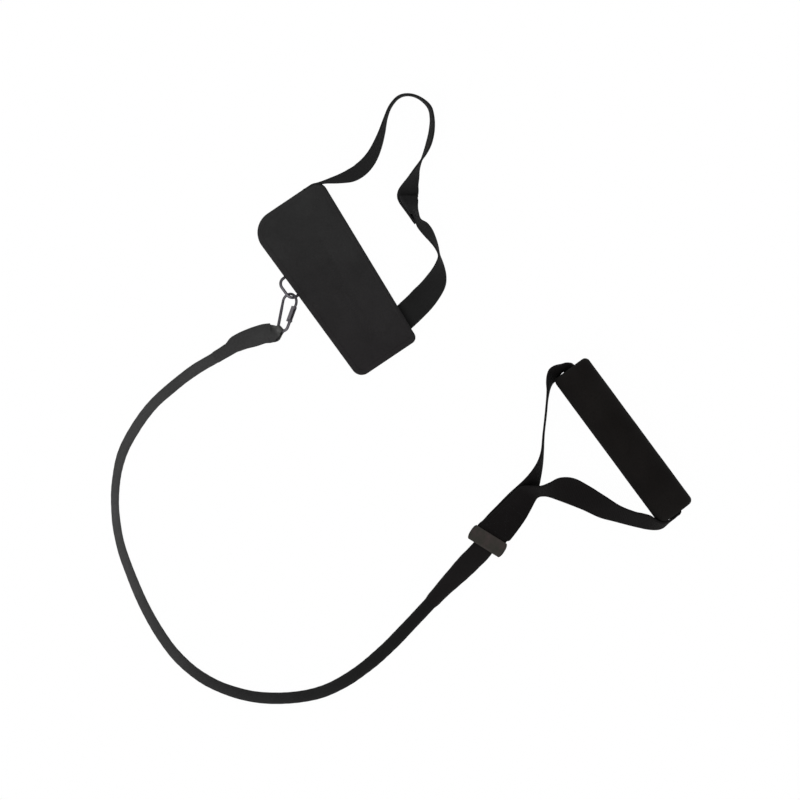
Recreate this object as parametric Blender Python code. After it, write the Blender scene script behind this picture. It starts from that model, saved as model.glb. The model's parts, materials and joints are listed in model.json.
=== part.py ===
# Ankle resistance cord, laid out on a flat surface: a padded ankle cuff with a hook-and-loop strap,
# a D-ring and a small snap link, a fabric-sheathed latex cord, and a webbing handle with a foam grip.
# Metres, +Z up. The origin is the middle of the cuff's lining, where it rests.

import math

import bmesh
import bpy
from mathutils import Matrix, Vector

for old in list(bpy.data.objects):
    bpy.data.objects.remove(old, do_unlink=True)

MM = 0.001
UP = Vector((0.0, 0.0, 1.0))

# Gaps between pieces that touch
GAP = 0.3 * MM
PIVOT_GAP = 0.15 * MM

# Cuff: the long axis runs down and to the right, the strap leaves its right long edge
CUFF_TURN = math.radians(-56.1)
CUFF_LENGTH = 141.0 * MM
CUFF_WIDTH_WIDE = 64.0 * MM
CUFF_WIDTH_NARROW = 54.8 * MM
CUFF_CORNER_RADII = (14.0 * MM, 8.0 * MM, 5.0 * MM, 8.0 * MM)
CUFF_EDGE_HEIGHT = 8.4 * MM
CUFF_CROWN = 3.4 * MM
LINING_THICKNESS = 1.4 * MM
COVER_THICKNESS = 1.4 * MM
BINDING_THICKNESS = 1.2 * MM
ARC_STEPS = 5
EDGE_STEP = 12.0 * MM

# D-ring, held in a slot in the cuff's left edge by a folded webbing tab
RING_WIRE = 2.2 * MM
RING_INSIDE_WIDTH = 14.4 * MM
RING_DEPTH = 9.0 * MM
RING_CORNER = 5.0 * MM
RING_PLACE = -14.6 * MM
RING_BAR_INSET = 1.9 * MM
RING_BAR_HEIGHT = 4.6 * MM
RING_LIFT = math.radians(15.9)
TAB_WIDTH = 13.0 * MM
TAB_THICKNESS = 0.8 * MM
TAB_LENGTH = 8.0 * MM
SLOT_HEIGHT = 5.8 * MM

# Snap link: a wire body with a channel gate, seen edge-on from its own plane
LINK_WIRE = 2.0 * MM
LINK_TOP_RADIUS = 6.4 * MM
LINK_FOOT_RADIUS = 4.6 * MM
LINK_LENGTH = 28.5 * MM
LINK_TURN = math.radians(-105.5)
LINK_ROLL = math.radians(38.0)
LINK_PITCH = math.radians(-1.8)
LINK_REACH = 2.53 * MM
LINK_RISE = 0.1 * MM
GATE_NOSE = 8.4 * MM
GATE_PIVOT = 19.5 * MM
GATE_WALL = 0.45 * MM
GATE_DEPTH = 1.75 * MM
GATE_MOUTH = 0.6 * MM
NOSE_OVERLAP = 1.4 * MM
GATE_TAIL = 1.1 * MM
PIN_DIAMETER = 1.0 * MM
PIN_HEAD = 0.3 * MM
PIN_HOLE_LENGTH = 8.0 * MM
SPRING_THICKNESS = 0.25 * MM
SPRING_WIDTH = 1.8 * MM
SPRING_LENGTH = 8.6 * MM
SPRING_OFF_PIN = 0.9 * MM

# Straps of the cuff: narrow webbing with the two closing patches
STRAP_WIDTH = 20.0 * MM
STRAP_THICKNESS = 1.6 * MM
PATCH_THICKNESS = 0.8 * MM

# Cord: a latex core in a woven sheath
CORD_DIAMETER = 8.0 * MM
SHEATH_WALL = 0.9 * MM
CORE_DIAMETER = 5.2 * MM
CORD_STEPS = 34
CORD_SIDES_LEVEL = 2
CORE_IN_SLEEVE = 15.0 * MM
FERRULE_LENGTH = 8.0 * MM
FERRULE_WALL = 0.4 * MM
SLEEVE_END_DIAMETER = 9.6 * MM
SLEEVE_END_HEIGHT = 9.0 * MM

# Handle: one length of webbing that runs through the grip and back
WEBBING_WIDTH = 25.0 * MM
WEBBING_THICKNESS = 1.7 * MM
COLLAR_LENGTH = 12.0 * MM
COLLAR_WALL = 1.2 * MM
COLLAR_INSIDE_HEIGHT = 6.2 * MM
COLLAR_RIM = [(0.0, 1.5 * MM), (0.5 * MM, 0.7 * MM), (1.4 * MM, 0.0)]
GRIP_LENGTH = 135.0 * MM
GRIP_DIAMETER = 31.0 * MM
GRIP_CORE_OUTSIDE = 22.0 * MM
GRIP_CORE_INSIDE = 19.0 * MM
GRIP_CORE_SHORTER = 4.0 * MM
GRIP_EDGE = 4.0 * MM
WEBBING_IN_GRIP = 14.0 * MM
WEBBING_OFF_AXIS = 5.0 * MM
WEBBING_PAST_GRIP = 0.5 * MM

# Places in the layout, in millimetres from the origin
COLLAR_CENTRE = (113.5, -196.0)
COLLAR_TURN = math.radians(58.0)
GRIP_END = (175.0, -66.5)
GRIP_TURN = math.radians(-53.56)

# The cord's middle line on the floor, from the cuff's sleeve to the handle's sleeve
CORD_ROUTE = [
    (-90.5, -58.5), (-106.0, -67.7), (-121.5, -79.5), (-137.5, -94.0), (-150.5, -111.5),
    (-160.5, -131.0), (-165.2, -153.5), (-165.3, -176.5), (-161.5, -199.0), (-153.7, -221.5),
    (-144.0, -244.0), (-132.5, -264.5), (-119.5, -282.0), (-103.0, -296.5), (-84.0, -306.5),
    (-60.5, -312.8), (-35.5, -313.5), (-13.0, -309.7), (5.5, -301.5), (23.0, -289.5),
    (39.5, -275.0), (55.0, -259.0), (70.5, -242.5),
]

# The rest of the middle line, where the sleeves cover it
CUFF_SLEEVE_ROUTE = [(-90.5, -58.5), (-79.0, -51.5), (-68.0, -46.0), (-56.5, -42.0), (-53.0, -41.0)]
HANDLE_SLEEVE_ROUTE = [(70.5, -242.5), (82.0, -230.0), (92.0, -219.0), (100.5, -209.5), (107.0, -202.5)]


def material(name, colour, roughness, metallic=0.0):
    made = bpy.data.materials.get(name) or bpy.data.materials.new(name)
    made.use_nodes = True
    shader = made.node_tree.nodes["Principled BSDF"]
    shader.inputs["Base Color"].default_value = (*colour, 1.0)
    shader.inputs["Roughness"].default_value = roughness
    shader.inputs["Metallic"].default_value = metallic
    return made


def flat(points, height=0.0):
    """Floor points in millimetres as vectors at one height in metres."""
    return [Vector((x * MM, y * MM, height)) for x, y in points]


def smooth_curve(points, steps):
    """Points on a Catmull-Rom curve through the given vectors, steps to each span."""
    padded = [2 * points[0] - points[1], *points, 2 * points[-1] - points[-2]]
    curve = []
    for a, b, c, d in zip(padded, padded[1:], padded[2:], padded[3:]):
        for step in range(steps):
            t = step / steps
            curve.append(
                0.5 * (2 * b + (c - a) * t + (2 * a - 5 * b + 4 * c - d) * t**2
                       + (3 * b - a - 3 * c + d) * t**3)
            )
    curve.append(points[-1].copy())
    return curve


def even_points(points, count):
    """The same line with its points at even distances."""
    lengths = [0.0]
    for a, b in zip(points, points[1:]):
        lengths.append(lengths[-1] + (b - a).length)
    even = []
    index = 0
    for number in range(count):
        want = lengths[-1] * number / (count - 1)
        while index < len(points) - 2 and lengths[index + 1] < want:
            index += 1
        share = (want - lengths[index]) / (lengths[index + 1] - lengths[index])
        even.append(points[index].lerp(points[index + 1], share))
    return even


def directions(points):
    """The unit direction of the line at each of its points."""
    found = []
    for index in range(len(points)):
        before = points[max(index - 1, 0)]
        after = points[min(index + 1, len(points) - 1)]
        found.append((after - before).normalized())
    return found


def new_object(name, mesh, look):
    mesh.materials.clear()
    mesh.materials.append(look)
    made = bpy.data.objects.new(name, mesh)
    bpy.context.collection.objects.link(made)
    return made


def finish(name, bm, look, origin=None, smooth_angle=35.0):
    """One object from a bmesh in world places, with its origin at a joint where it has one."""
    bmesh.ops.remove_doubles(bm, verts=bm.verts, dist=1e-7)
    bmesh.ops.recalc_face_normals(bm, faces=bm.faces)
    mesh = bpy.data.meshes.new(name)
    bm.to_mesh(mesh)
    bm.free()
    mesh.shade_smooth()
    mesh.set_sharp_from_angle(angle=math.radians(smooth_angle))
    made = new_object(name, mesh, look)
    if origin is not None:
        mesh.transform(Matrix.Translation(-origin))
        made.location = origin
    return made


def join_rings(bm, rings, closed=False):
    """Quads between rings of points, each ring a closed loop. Returns the rings of vertices."""
    loops = [[bm.verts.new(point) for point in ring] for ring in rings]
    pairs = list(zip(loops, loops[1:]))
    if closed:
        pairs.append((loops[-1], loops[0]))
    for a, b in pairs:
        for index in range(len(a)):
            following = (index + 1) % len(a)
            bm.faces.new((a[index], a[following], b[following], b[index]))
    return loops


def loft(name, rings, look, origin=None, smooth_angle=35.0):
    """A solid through a row of rings, closed by a flat face at each end."""
    bm = bmesh.new()
    loops = join_rings(bm, rings)
    bm.faces.new(loops[0])
    bm.faces.new(loops[-1])
    return finish(name, bm, look, origin, smooth_angle)


def loft_ring(name, rings, look, origin=None, smooth_angle=35.0):
    """A solid through rings that come back to the first one, such as a tube with a bore."""
    bm = bmesh.new()
    join_rings(bm, rings, closed=True)
    return finish(name, bm, look, origin, smooth_angle)


def oval(centre, direction, width, height, sides=12):
    """A ring of points across a level direction, an ellipse of this width and height."""
    across = direction.cross(UP).normalized()
    lift = across.cross(direction).normalized()
    return [
        centre
        + across * (width / 2 * math.cos(2 * math.pi * (n + 0.5) / sides))
        + lift * (height / 2 * math.sin(2 * math.pi * (n + 0.5) / sides))
        for n in range(sides)
    ]


def soft_box(centre, direction, width, height, corner, steps=3):
    """A ring of points across a level direction, a rectangle with rounded corners."""
    across = direction.cross(UP).normalized()
    lift = across.cross(direction).normalized()
    points = []
    for quarter in range(4):
        side_x = 1 if quarter in (0, 3) else -1
        side_z = 1 if quarter in (0, 1) else -1
        for step in range(steps + 1):
            angle = math.pi / 2 * (quarter + step / steps)
            x = side_x * (width / 2 - corner) + corner * math.cos(angle)
            z = side_z * (height / 2 - corner) + corner * math.sin(angle)
            points.append(centre + across * x + lift * z)
    return points


def cut(target, cutter):
    """Cuts one object out of another with an exact Boolean, and hides the cutter."""
    cutter.hide_render = True
    cutter.display_type = "WIRE"
    modifier = target.modifiers.new("cut " + cutter.name, "BOOLEAN")
    modifier.operation = "DIFFERENCE"
    modifier.object = cutter


# Cuff frame: u along the cuff, v across it towards the strap

CUFF_U = Vector((math.cos(CUFF_TURN), math.sin(CUFF_TURN), 0.0))
CUFF_V = Vector((-math.sin(CUFF_TURN), math.cos(CUFF_TURN), 0.0))


def on_cuff(u, v, z=0.0):
    return CUFF_U * u + CUFF_V * v + UP * z


def half_width(u):
    """Half the cuff's width at a place along it."""
    middle = (CUFF_WIDTH_WIDE + CUFF_WIDTH_NARROW) / 4
    slope = (CUFF_WIDTH_WIDE - CUFF_WIDTH_NARROW) / 2 / CUFF_LENGTH
    return middle - slope * u


def cuff_outline(inset=0.0):
    """The cuff's outline on the floor, drawn in by an inset, as (u, v) pairs."""
    end = CUFF_LENGTH / 2
    corners = [
        (-end, -half_width(-end)), (end, -half_width(end)), (end, half_width(end)), (-end, half_width(-end)),
    ]
    points = []
    for index, (u, v) in enumerate(corners):
        radius = CUFF_CORNER_RADII[index]
        sign_u = math.copysign(1, u)
        sign_v = math.copysign(1, v)
        drawn = max(radius - inset, 0.4 * MM)
        centre_u = u - sign_u * (inset + drawn)
        centre_v = v - sign_v * (inset + drawn)
        for step in range(ARC_STEPS + 1):
            angle = math.radians(180 + 90 * index + 90 * step / ARC_STEPS)
            points.append((centre_u + drawn * math.cos(angle), centre_v + drawn * math.sin(angle)))
    outline = []
    for index, (u, v) in enumerate(points):
        next_u, next_v = points[(index + 1) % len(points)]
        pieces = max(1, round(math.hypot(next_u - u, next_v - v) / EDGE_STEP))
        if index % (ARC_STEPS + 1) != ARC_STEPS:
            pieces = 1
        for piece in range(pieces):
            share = piece / pieces
            outline.append((u + (next_u - u) * share, v + (next_v - v) * share))
    return outline


def cuff_ring(inset, height, share=1.0):
    """The outline as points at one height, drawn towards the middle by a share."""
    return [on_cuff(u * share, v * share, height) for u, v in cuff_outline(inset)]


# Shares of the way out from the middle, and how much of the crown is left there
CROWN_PROFILE = [(1.0, 0.0), (0.97, 0.25), (0.9, 0.5), (0.76, 0.76), (0.55, 0.92), (0.28, 0.99)]


def crown_rings(inset, edge_height, crown):
    return [cuff_ring(inset, edge_height + crown * rise, share) for share, rise in CROWN_PROFILE]


def cuff_lining(look):
    inset = BINDING_THICKNESS + GAP
    rings = [cuff_ring(inset, 0.0), cuff_ring(inset, LINING_THICKNESS)]
    return loft("cuff_lining", rings, look)


def cuff_pad(look):
    inset = BINDING_THICKNESS + COVER_THICKNESS + 2 * GAP
    floor = LINING_THICKNESS + GAP
    edge = CUFF_EDGE_HEIGHT - COVER_THICKNESS - GAP
    return loft("cuff_foam_pad", [cuff_ring(inset, floor), *crown_rings(inset, edge, CUFF_CROWN)], look)


def cuff_cover(look):
    """The outer cover, a shell that is open underneath, over the foam pad."""
    inset = BINDING_THICKNESS + GAP
    floor = LINING_THICKNESS + GAP
    outside = [cuff_ring(inset, floor), *crown_rings(inset, CUFF_EDGE_HEIGHT, CUFF_CROWN)]
    inner_inset = inset + COVER_THICKNESS
    inner_edge = CUFF_EDGE_HEIGHT - COVER_THICKNESS
    inside = [cuff_ring(inner_inset, floor), *crown_rings(inner_inset, inner_edge, CUFF_CROWN)]
    bm = bmesh.new()
    loops = join_rings(bm, [*reversed(inside), *outside])
    bm.faces.new(loops[0])
    bm.faces.new(loops[-1])
    return finish("cuff_cover", bm, look)


def edge_binding(look):
    """The tape round the cuff's edge, from the floor to the top of the edge."""
    bevel = BINDING_THICKNESS / 2
    rings = [
        cuff_ring(0.0, bevel),
        cuff_ring(0.0, CUFF_EDGE_HEIGHT - bevel),
        cuff_ring(bevel, CUFF_EDGE_HEIGHT),
        cuff_ring(BINDING_THICKNESS, CUFF_EDGE_HEIGHT - bevel),
        cuff_ring(BINDING_THICKNESS, bevel),
        cuff_ring(bevel, 0.0),
    ]
    return loft_ring("cuff_edge_binding", rings, look)


# D-ring frame: the straight bar lies along the cuff, the bow reaches out and a little up

RING_BAR = on_cuff(RING_PLACE, -half_width(RING_PLACE) + RING_BAR_INSET, RING_BAR_HEIGHT)
EDGE_SLOPE = math.atan2((CUFF_WIDTH_WIDE - CUFF_WIDTH_NARROW) / 2, CUFF_LENGTH)
RING_ALONG = (CUFF_U * math.cos(EDGE_SLOPE) + CUFF_V * math.sin(EDGE_SLOPE)).normalized()
RING_OUT_LEVEL = RING_ALONG.cross(UP).normalized()
RING_OUT = RING_OUT_LEVEL * math.cos(RING_LIFT) + UP * math.sin(RING_LIFT)


def wire(name, points, diameter, look, normal, origin=None, closed=False, sides=8):
    """A round wire along a line that lies in one plane, whose normal is given."""
    if closed:
        tangents = [
            (points[(n + 1) % len(points)] - points[n - 1]).normalized() for n in range(len(points))
        ]
    else:
        tangents = directions(points)
    rings = []
    for point, tangent in zip(points, tangents):
        side = tangent.cross(normal).normalized()
        rings.append([
            point + (side * math.cos(2 * math.pi * n / sides) + normal * math.sin(2 * math.pi * n / sides))
            * diameter / 2
            for n in range(sides)
        ])
    if closed:
        return loft_ring(name, rings, look, origin)
    return loft(name, rings, look, origin)


def arc(centre, x_axis, y_axis, radius, start, end, steps):
    """Points on an arc in the plane of two axes, angles in degrees."""
    points = []
    for step in range(steps + 1):
        angle = math.radians(start + (end - start) * step / steps)
        points.append(centre + (x_axis * math.cos(angle) + y_axis * math.sin(angle)) * radius)
    return points


def d_ring(look):
    """A closed D of round wire: a straight bar and a bow with two round corners."""
    half = RING_HALF
    tight = RING_WIRE
    depth = RING_DEPTH

    def place(along, out):
        return RING_BAR + RING_ALONG * along + RING_OUT * out

    points = arc(place(half - tight, tight), RING_ALONG, RING_OUT, tight, -90, 0, 3)
    points += arc(place(half - RING_CORNER, depth - RING_CORNER), RING_ALONG, RING_OUT, RING_CORNER, 0, 90, 5)
    points += arc(place(-half + RING_CORNER, depth - RING_CORNER), RING_ALONG, RING_OUT, RING_CORNER, 90, 180, 5)
    points += arc(place(-half + tight, tight), RING_ALONG, RING_OUT, tight, 180, 270, 3)
    normal = RING_ALONG.cross(RING_OUT).normalized()
    return wire("d_ring", points, RING_WIRE, look, normal, RING_BAR, closed=True)


def tab_slot(look):
    """The slot in the cuff's edge that the ring's bar and its tab lie in."""
    length = RING_INSIDE_WIDTH + 2 * RING_WIRE + 4 * GAP
    back = RING_BAR_INSET + TAB_LENGTH
    front = RING_BAR_INSET + 4 * MM
    rings = []
    for height in (RING_BAR_HEIGHT - SLOT_HEIGHT / 2, RING_BAR_HEIGHT + SLOT_HEIGHT / 2):
        rings.append([
            RING_BAR + RING_ALONG * (length / 2 * a) + RING_OUT_LEVEL * b + UP * (height - RING_BAR_HEIGHT)
            for a, b in ((-1, front), (1, front), (1, -back), (-1, -back))
        ])
    return loft("tab_slot_cutter", rings, look)


def ring_tab(look):
    """A strip of webbing folded round the ring's bar, with both tails in the slot."""
    inner = RING_WIRE / 2 + PIVOT_GAP
    outer = inner + TAB_THICKNESS
    tail = TAB_LENGTH + RING_BAR_INSET - GAP
    section = [(-tail, outer), (0.0, outer)]
    for step in range(1, 6):
        angle = math.pi / 2 - math.pi * step / 6
        section.append((outer * math.cos(angle), outer * math.sin(angle)))
    section += [(0.0, -outer), (-tail, -outer), (-tail, -inner), (0.0, -inner)]
    for step in range(1, 6):
        angle = -math.pi / 2 + math.pi * step / 6
        section.append((inner * math.cos(angle) * 1.04, inner * math.sin(angle) * 1.04))
    section += [(0.0, inner), (-tail, inner)]
    rings = [
        [RING_BAR + RING_ALONG * (TAB_WIDTH / 2 * side) + RING_OUT_LEVEL * out + UP * lift
         for out, lift in section]
        for side in (-1, 1)
    ]
    return loft("ring_tab", rings, look)


# Link frame: p along the link, q across it, n square to its plane

RING_HALF = (RING_INSIDE_WIDTH + RING_WIRE) / 2
CORNER_PLACE = math.sqrt(0.5) * RING_CORNER - RING_CORNER
CORNER_POINT = RING_BAR + RING_ALONG * (RING_HALF + CORNER_PLACE) + RING_OUT * (RING_DEPTH + CORNER_PLACE)
CORNER_OUT = (RING_ALONG + RING_OUT_LEVEL).normalized()
LINK_LEVEL_P = Vector((math.cos(LINK_TURN), math.sin(LINK_TURN), 0.0))
LINK_LEVEL_Q = Vector((-math.sin(LINK_TURN), math.cos(LINK_TURN), 0.0))
LINK_P = LINK_LEVEL_P * math.cos(LINK_PITCH) + UP * math.sin(LINK_PITCH)
LINK_Q = LINK_LEVEL_Q * math.cos(LINK_ROLL) + LINK_P.cross(LINK_LEVEL_Q) * math.sin(LINK_ROLL)
LINK_N = LINK_P.cross(LINK_Q)
LINK_TOP = CORNER_POINT - CORNER_OUT * LINK_REACH + UP * LINK_RISE


def on_link(p, q, n=0.0):
    return LINK_TOP + LINK_P * p + LINK_Q * q + LINK_N * n


def leg_offset(p):
    """How far the link's legs lie from its middle line at a place along it."""
    start = LINK_TOP_RADIUS
    end = LINK_LENGTH - LINK_FOOT_RADIUS
    share = (p - start) / (end - start)
    return LINK_TOP_RADIUS + (LINK_FOOT_RADIUS - LINK_TOP_RADIUS) * share


PIN_CENTRE = on_link(GATE_PIVOT, leg_offset(GATE_PIVOT))
GATE_P = (on_link(GATE_PIVOT, leg_offset(GATE_PIVOT)) - on_link(GATE_NOSE, leg_offset(GATE_NOSE))).normalized()
GATE_Q = LINK_N.cross(GATE_P).normalized()


def by_gate(p, q, n=0.0):
    """A place by the gate's pivot: p towards the foot, q outwards, n square to the link."""
    return PIN_CENTRE + GATE_P * p + GATE_Q * q + LINK_N * n


def link_body(look):
    """The bent wire from the gate's pivot round the foot and the top to the nose."""
    foot = LINK_LENGTH - LINK_FOOT_RADIUS
    start = GATE_PIVOT - PIN_DIAMETER
    points = [on_link(start, leg_offset(start)), on_link(GATE_PIVOT + 1.5 * MM, leg_offset(GATE_PIVOT + 1.5 * MM))]
    points += arc(on_link(foot, 0), LINK_P, LINK_Q, LINK_FOOT_RADIUS, 90, -90, 10)
    points += arc(on_link(LINK_TOP_RADIUS, 0), LINK_P, LINK_Q, LINK_TOP_RADIUS, -90, -270, 12)
    nose = GATE_NOSE + NOSE_OVERLAP
    points.append(on_link(nose, leg_offset(nose)))
    return wire("link_body", points, LINK_WIRE, look, LINK_N)


def pin_cylinder(name, radius, length, look):
    rings = []
    for end in (-length / 2, length / 2):
        rings.append([
            by_gate(radius * math.cos(math.pi * k / 6), radius * math.sin(math.pi * k / 6), end)
            for k in range(12)
        ])
    return loft(name, rings, look, PIN_CENTRE)


def link_gate(look):
    """A folded channel that straddles the wire at its pivot and its nose, open outwards."""
    inner = LINK_WIRE / 2 + PIVOT_GAP * 1.5
    outer = inner + GATE_WALL
    back = -GATE_DEPTH
    section = [
        (GATE_MOUTH, inner), (GATE_MOUTH, outer), (back - GATE_WALL, outer), (back - GATE_WALL, -outer),
        (GATE_MOUTH, -outer), (GATE_MOUTH, -inner), (back, -inner), (back, inner),
    ]
    length = GATE_PIVOT - GATE_NOSE
    rings = [[by_gate(p, q, n) for q, n in section] for p in (-length, GATE_TAIL)]
    return loft("link_gate", rings, look, PIN_CENTRE)


def gate_back_cutter(look):
    """Clears the channel's back beside the pivot, where the wire turns in it."""
    tall = LINK_WIRE / 2 + PIVOT_GAP * 1.5
    rings = [
        [by_gate(p, q, n) for q, n in
         ((-GATE_DEPTH - 1.0 * MM, -tall), (-0.9 * MM, -tall), (-0.9 * MM, tall), (-GATE_DEPTH - 1.0 * MM, tall))]
        for p in (-0.6 * MM, GATE_TAIL + 1.0 * MM)
    ]
    return loft("gate_back_cutter", rings, look)


def gate_pin(look):
    """A rivet through both cheeks of the gate and the wire, with two small heads."""
    inner = LINK_WIRE / 2 + PIVOT_GAP * 1.5 + GATE_WALL + PIVOT_GAP / 2
    radius = PIN_DIAMETER / 2
    head = radius + 0.4 * MM
    stations = [
        (head, -inner - PIN_HEAD), (head, -inner), (radius, -inner),
        (radius, inner), (head, inner), (head, inner + PIN_HEAD),
    ]
    rings = [
        [by_gate(r * math.cos(math.pi * k / 6), r * math.sin(math.pi * k / 6), n) for k in range(12)]
        for r, n in stations
    ]
    return loft("gate_pin", rings, look, PIN_CENTRE)


def gate_spring(look):
    """The leaf that lies in the channel and presses on the wire's end."""
    back = -GATE_DEPTH + PIVOT_GAP / 2
    front = back + SPRING_THICKNESS
    wide = SPRING_WIDTH / 2
    rings = [
        [by_gate(p, q, n) for q, n in ((back, -wide), (front, -wide), (front, wide), (back, wide))]
        for p in (-SPRING_OFF_PIN - SPRING_LENGTH, -SPRING_OFF_PIN)
    ]
    return loft("gate_spring", rings, look, PIN_CENTRE)


# Ribbons: webbing as a thick strip between two edge lines


def strip_edges(stations, width):
    """Edge points of a strip. A station gives the foot edge's x, y and height and the other edge's x
    and y, in millimetres, and a share of the width where the strip is gathered. What the plan
    doesn't show of the width stands up."""
    feet, tops = [], []
    for foot_x, foot_y, foot_z, top_x, top_y, *share in stations:
        wide = width * (share[0] if share else 1.0)
        foot = Vector((foot_x, foot_y, foot_z)) * MM
        level = Vector((top_x - foot_x, top_y - foot_y, 0.0)) * MM
        if level.length > wide:
            level = level.normalized() * wide
        feet.append(foot)
        tops.append(foot + level + UP * math.sqrt(max(wide**2 - level.length_squared, 0.0)))
    return feet, tops


def face_normals(feet, tops):
    """The direction square to the strip at each of its stations."""
    middles = [(a + b) / 2 for a, b in zip(feet, tops)]
    return [
        along.cross((top - foot).normalized()).normalized()
        for along, foot, top in zip(directions(middles), feet, tops)
    ]


def ribbon_sections(feet, tops, thickness, parts=2):
    """Closed sections of a strip of one thickness between two edge lines."""
    sections = []
    for foot, top, normal in zip(feet, tops, face_normals(feet, tops)):
        across = [foot.lerp(top, part / parts) for part in range(parts + 1)]
        upper = [point + normal * thickness / 2 for point in across]
        lower = [point - normal * thickness / 2 for point in reversed(across)]
        sections.append(upper + lower)
    return sections


def smooth_strip(feet, tops, steps):
    """Both edges as smooth curves, still the stations' width apart."""
    count = (len(feet) - 1) * steps
    widths = [(top - foot).length for foot, top in zip(feet, tops)]
    feet = smooth_curve(feet, steps)
    tops = smooth_curve(tops, steps)
    fixed = []
    for index, (foot, top) in enumerate(zip(feet, tops)):
        place = min(index / steps, count / steps - 1e-9)
        span = int(place)
        wide = widths[span] + (widths[span + 1] - widths[span]) * (place - span)
        fixed.append(foot + (top - foot).normalized() * wide)
    return feet, fixed


def moved(points, normals, distance):
    return [point + normal * distance for point, normal in zip(points, normals)]


# The upper strap: from the cuff's upper corner, over the top of the loop, to the closure
STRAP_UPPER = [
    (-9.6, 72.7, 0.4, -10.0, 73.5, 0.42), (2.5, 73.5, 0.4, 0.3, 77.4, 0.62), (14.5, 75.6, 0.4, 8.8, 83.4, 0.85),
    (24.0, 81.8, 0.4, 15.8, 89.8), (31.0, 91.0, 0.4, 22.0, 97.5), (34.5, 101.0, 0.4, 28.0, 104.5),
    (36.5, 111.0, 0.4, 32.5, 113.0), (38.3, 121.0, 0.4, 36.5, 121.8), (41.2, 129.5, 0.4, 40.4, 130.2),
    (47.0, 136.3, 0.4, 46.7, 137.0), (54.5, 138.3, 0.4, 54.5, 138.6), (62.5, 135.6, 0.4, 62.8, 136.2),
    (69.0, 129.0, 0.4, 70.5, 130.0), (70.5, 121.0, 0.4, 73.0, 121.5), (69.8, 111.5, 0.4, 73.0, 111.5),
    (68.0, 102.5, 0.4, 70.6, 101.5), (65.0, 94.0, 0.4, 65.6, 93.5), (62.6, 87.0, 0.4, 61.4, 87.3),
]

# The closure: where the two straps lie face to face, the lower one on the outside
CLOSURE = [
    (61.0, 80.0, 0.4, 56.2, 81.0), (59.6, 74.0, 0.4, 51.6, 74.8), (58.9, 68.5, 0.4, 47.8, 69.0),
    (58.8, 63.0, 0.4, 46.2, 63.2), (59.0, 57.5, 0.4, 47.8, 57.2), (59.5, 52.0, 0.4, 51.0, 51.2),
    (60.3, 46.8, 0.4, 55.0, 45.4),
]

# The lower strap: from the closure to the cuff's lower right edge
STRAP_LOWER = [
    (61.5, 40.5, 0.4, 68.5, 41.5), (66.0, 34.0, 0.4, 73.3, 34.0), (71.0, 27.5, 0.4, 75.3, 27.8),
    (76.0, 20.0, 0.4, 77.0, 20.0), (79.8, 12.5, 0.4, 75.0, 13.8), (82.0, 3.5, 0.4, 71.5, 8.0),
    (81.5, -5.5, 0.4, 67.0, 1.5), (77.5, -13.5, 0.5, 61.5, -4.5), (70.5, -21.5, 0.8, 55.5, -10.0),
    (63.5, -28.5, 1.0, 50.5, -15.0), (57.3, -34.3, 1.2, 47.0, -18.2),
]
STRAP_STEPS = 3
PATCH_FIRST = 1
PATCH_LAST = 5


def closure_edges():
    """The closure's edges on the upper strap, smoothed as the strap itself is."""
    feet, tops = smooth_strip(*strip_edges(STRAP_UPPER + CLOSURE, STRAP_WIDTH), STRAP_STEPS)
    first = (len(STRAP_UPPER) + PATCH_FIRST) * STRAP_STEPS
    last = (len(STRAP_UPPER) + PATCH_LAST) * STRAP_STEPS + 1
    return feet, tops, first, last


def strap_upper(look):
    feet, tops, _, _ = closure_edges()
    return loft("strap_upper", ribbon_sections(feet, tops, STRAP_THICKNESS), look)


def closure_patch(name, distance, look):
    """One of the two closing patches, at its distance from the upper strap's middle."""
    feet, tops, first, last = closure_edges()
    normals = face_normals(feet, tops)
    inset = [(top - foot).normalized() * MM for foot, top in zip(feet, tops)]
    low = [foot + step - normal * distance for foot, step, normal in zip(feet, inset, normals)]
    high = [top - step - normal * distance for top, step, normal in zip(tops, inset, normals)]
    sections = ribbon_sections(low[first:last], high[first:last], PATCH_THICKNESS)
    return loft(name, sections, look)


HOOK_PLACE = STRAP_THICKNESS / 2 + GAP + PATCH_THICKNESS / 2
LOOP_PLACE = HOOK_PLACE + PATCH_THICKNESS + GAP
LOWER_PLACE = LOOP_PLACE + PATCH_THICKNESS / 2 + GAP + STRAP_THICKNESS / 2


def strap_lower(look):
    """Starts on the outside of the closure and ends at the cuff's edge."""
    feet, tops = strip_edges(CLOSURE, STRAP_WIDTH)
    normals = face_normals(feet, tops)
    feet = moved(feet, normals, -LOWER_PLACE)[PATCH_FIRST:]
    tops = moved(tops, normals, -LOWER_PLACE)[PATCH_FIRST:]
    more_feet, more_tops = strip_edges(STRAP_LOWER, STRAP_WIDTH)
    feet, tops = smooth_strip(feet + more_feet, tops + more_tops, STRAP_STEPS)
    return loft("strap_lower", ribbon_sections(feet, tops, STRAP_THICKNESS), look)


# Cord: one middle line from the cuff's sleeve to the collar

CORD_HEIGHT = CORD_DIAMETER / 2
LINE = smooth_curve(flat(CUFF_SLEEVE_ROUTE[:0:-1] + CORD_ROUTE + HANDLE_SLEEVE_ROUTE[1:], CORD_HEIGHT), 8)
CORD_START = (len(CUFF_SLEEVE_ROUTE) - 1) * 8
CORD_END = CORD_START + (len(CORD_ROUTE) - 1) * 8


def line_length(points):
    return sum((b - a).length for a, b in zip(points, points[1:]))


def line_part(points, length, count):
    """Evenly spaced points on the first stretch of a line."""
    whole = line_length(points)
    fine = even_points(points, 400)
    keep = max(2, round(400 * length / whole))
    return even_points(fine[:keep], count)


FREE_LINE = even_points(LINE[CORD_START:CORD_END + 1], CORD_STEPS)
CUFF_SLEEVE_LINE = LINE[CORD_START::-1]
HANDLE_SLEEVE_LINE = LINE[CORD_END:]


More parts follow.
